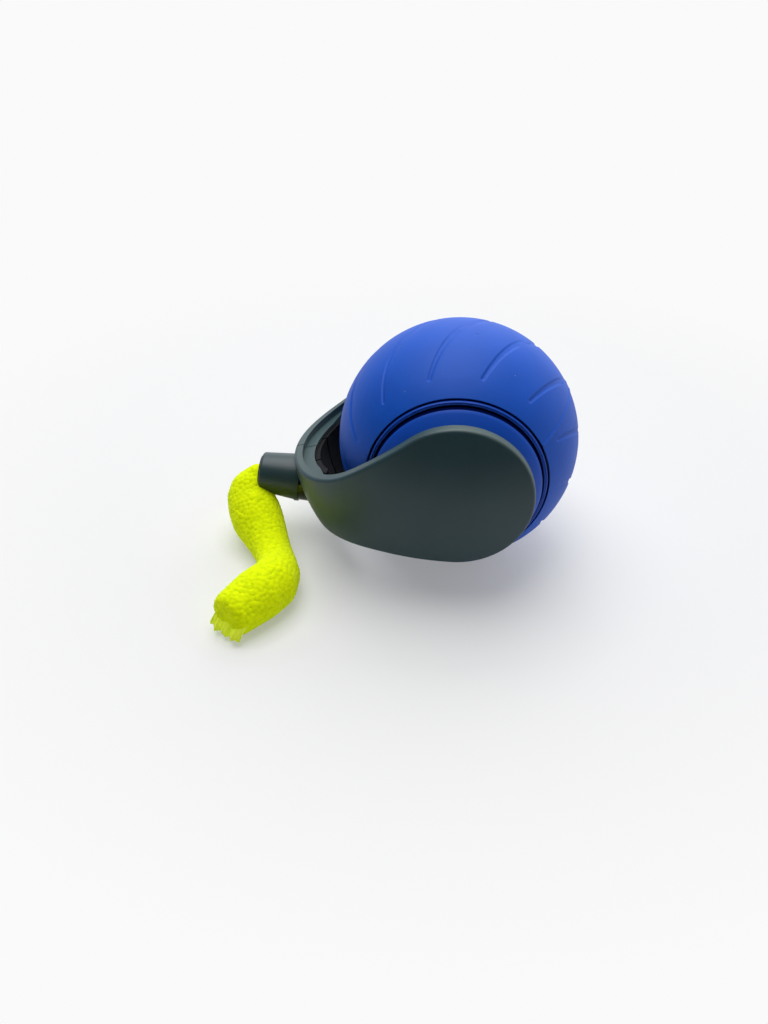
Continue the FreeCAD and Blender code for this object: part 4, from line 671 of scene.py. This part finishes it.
def lime_knit(name, tints, glow, scale, detail, stops):
    """Fluorescent knit with a painted glow: it gives off a little of its own colour, lit or not."""
    made = bpy.data.materials.new(name)
    made.use_nodes = True
    shader = made.node_tree.nodes["Principled BSDF"]
    shader.inputs["Roughness"].default_value = 0.9
    # painted glow: the knit emits its own colour whatever the light, standing in for fluorescence
    shader.inputs["Emission Color"].default_value = (0.8, 1.0, 0.0, 1)
    shader.inputs["Emission Strength"].default_value = glow
    clouded(made, tints, scale, detail, stops)
    return made


plush_tints = ((0.58, 0.73, 0.0), (0.76, 0.90, 0.0))
plush = lime_knit("lime_plush", plush_tints, 0.12, 700, 4, (0.3, 0.62))
nodes, links = plush.node_tree.nodes, plush.node_tree.links
shader = nodes["Principled BSDF"]
shader.inputs["Sheen Weight"].default_value = 0.05
shader.inputs["Specular IOR Level"].default_value = 0.1
shader.inputs["Sheen Roughness"].default_value = 0.5
shader.inputs["Sheen Tint"].default_value = (0.9, 1.0, 0.4, 1)
bump = nodes.new("ShaderNodeBump")
bump.inputs["Strength"].default_value = 0.6
bump.inputs["Distance"].default_value = 0.0002
links.new(nodes["Noise Texture"].outputs["Fac"], bump.inputs["Height"])
links.new(bump.outputs["Normal"], shader.inputs["Normal"])
body_tube.data.materials.clear()
body_tube.data.materials.append(plush)
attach(body_tube, "tail")
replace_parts(body_tube, "tail")

# Hem: past the seam at the far end the knit is folded flat, and its cut edge is ragged. It is
# the same knit, one layer on the other, held by the seam.
hem_tints = ((0.66, 0.80, 0.01), (0.84, 0.95, 0.08))
hem_cloth = lime_knit("hem_cloth", hem_tints, 0.15, 1200, 2, (0, 1))
end_middle = middles[-1]
end_way = Vector((-0.59, -0.81, 0))
end_across = Vector((0.81, -0.59, 0))
hem_half = 5.6
hem_shift = 0.6
hem_length = 1.8
hem_root = 1.6
hem_thickness = 1.3
hem_drop = 0.6
hem_curl = 2.6
hem_wave = 0.3
hem_wave_pace = 1.3
wide_rag = 0.55
wide_rag_pace = 1.9
fine_rag = 0.35
fine_rag_pace = 4.7
hem_columns = 44
hem_rows = 8
hem_points = []
for column in range(hem_columns + 1):
    shift = hem_shift + hem_half * (2 * column / hem_columns - 1)
    length = hem_length + wide_rag * math.sin(wide_rag_pace * shift)
    length += fine_rag * math.sin(fine_rag_pace * shift + 1)
    for step in range(2 * hem_rows):
        below = step >= hem_rows
        along = (2 * hem_rows - 1 - step if below else step) / (hem_rows - 1)
        wave = hem_wave * math.sin(hem_wave_pace * shift + 2 * along)
        height = wave - hem_drop - hem_curl * along * along - (hem_thickness if below else 0)
        ahead = along * (length + hem_root) - hem_root
        spot = end_middle + end_across * shift + end_way * ahead + Vector((0, 0, height))
        hem_points.append(tuple(spot * millimetre))
hem_walls = []
last = 2 * hem_rows * hem_columns
for step in range(hem_rows - 1):
    a, b = step, 2 * hem_rows - 1 - step
    hem_walls.append((a, b, b - 1, a + 1))
    hem_walls.append((last + a, last + a + 1, last + b - 1, last + b))
for column in range(hem_columns):
    for step in range(2 * hem_rows):
        a = column * 2 * hem_rows + step
        b = column * 2 * hem_rows + (step + 1) % (2 * hem_rows)
        hem_walls.append((a, b, b + 2 * hem_rows, a + 2 * hem_rows))
hem = mesh_piece("tail_hem", hem_points, hem_walls, hem_cloth, "tail")
rounded = hem.modifiers.new("rounded", "SUBSURF")
rounded.levels = 2
rounded.render_levels = 2
applied(hem)
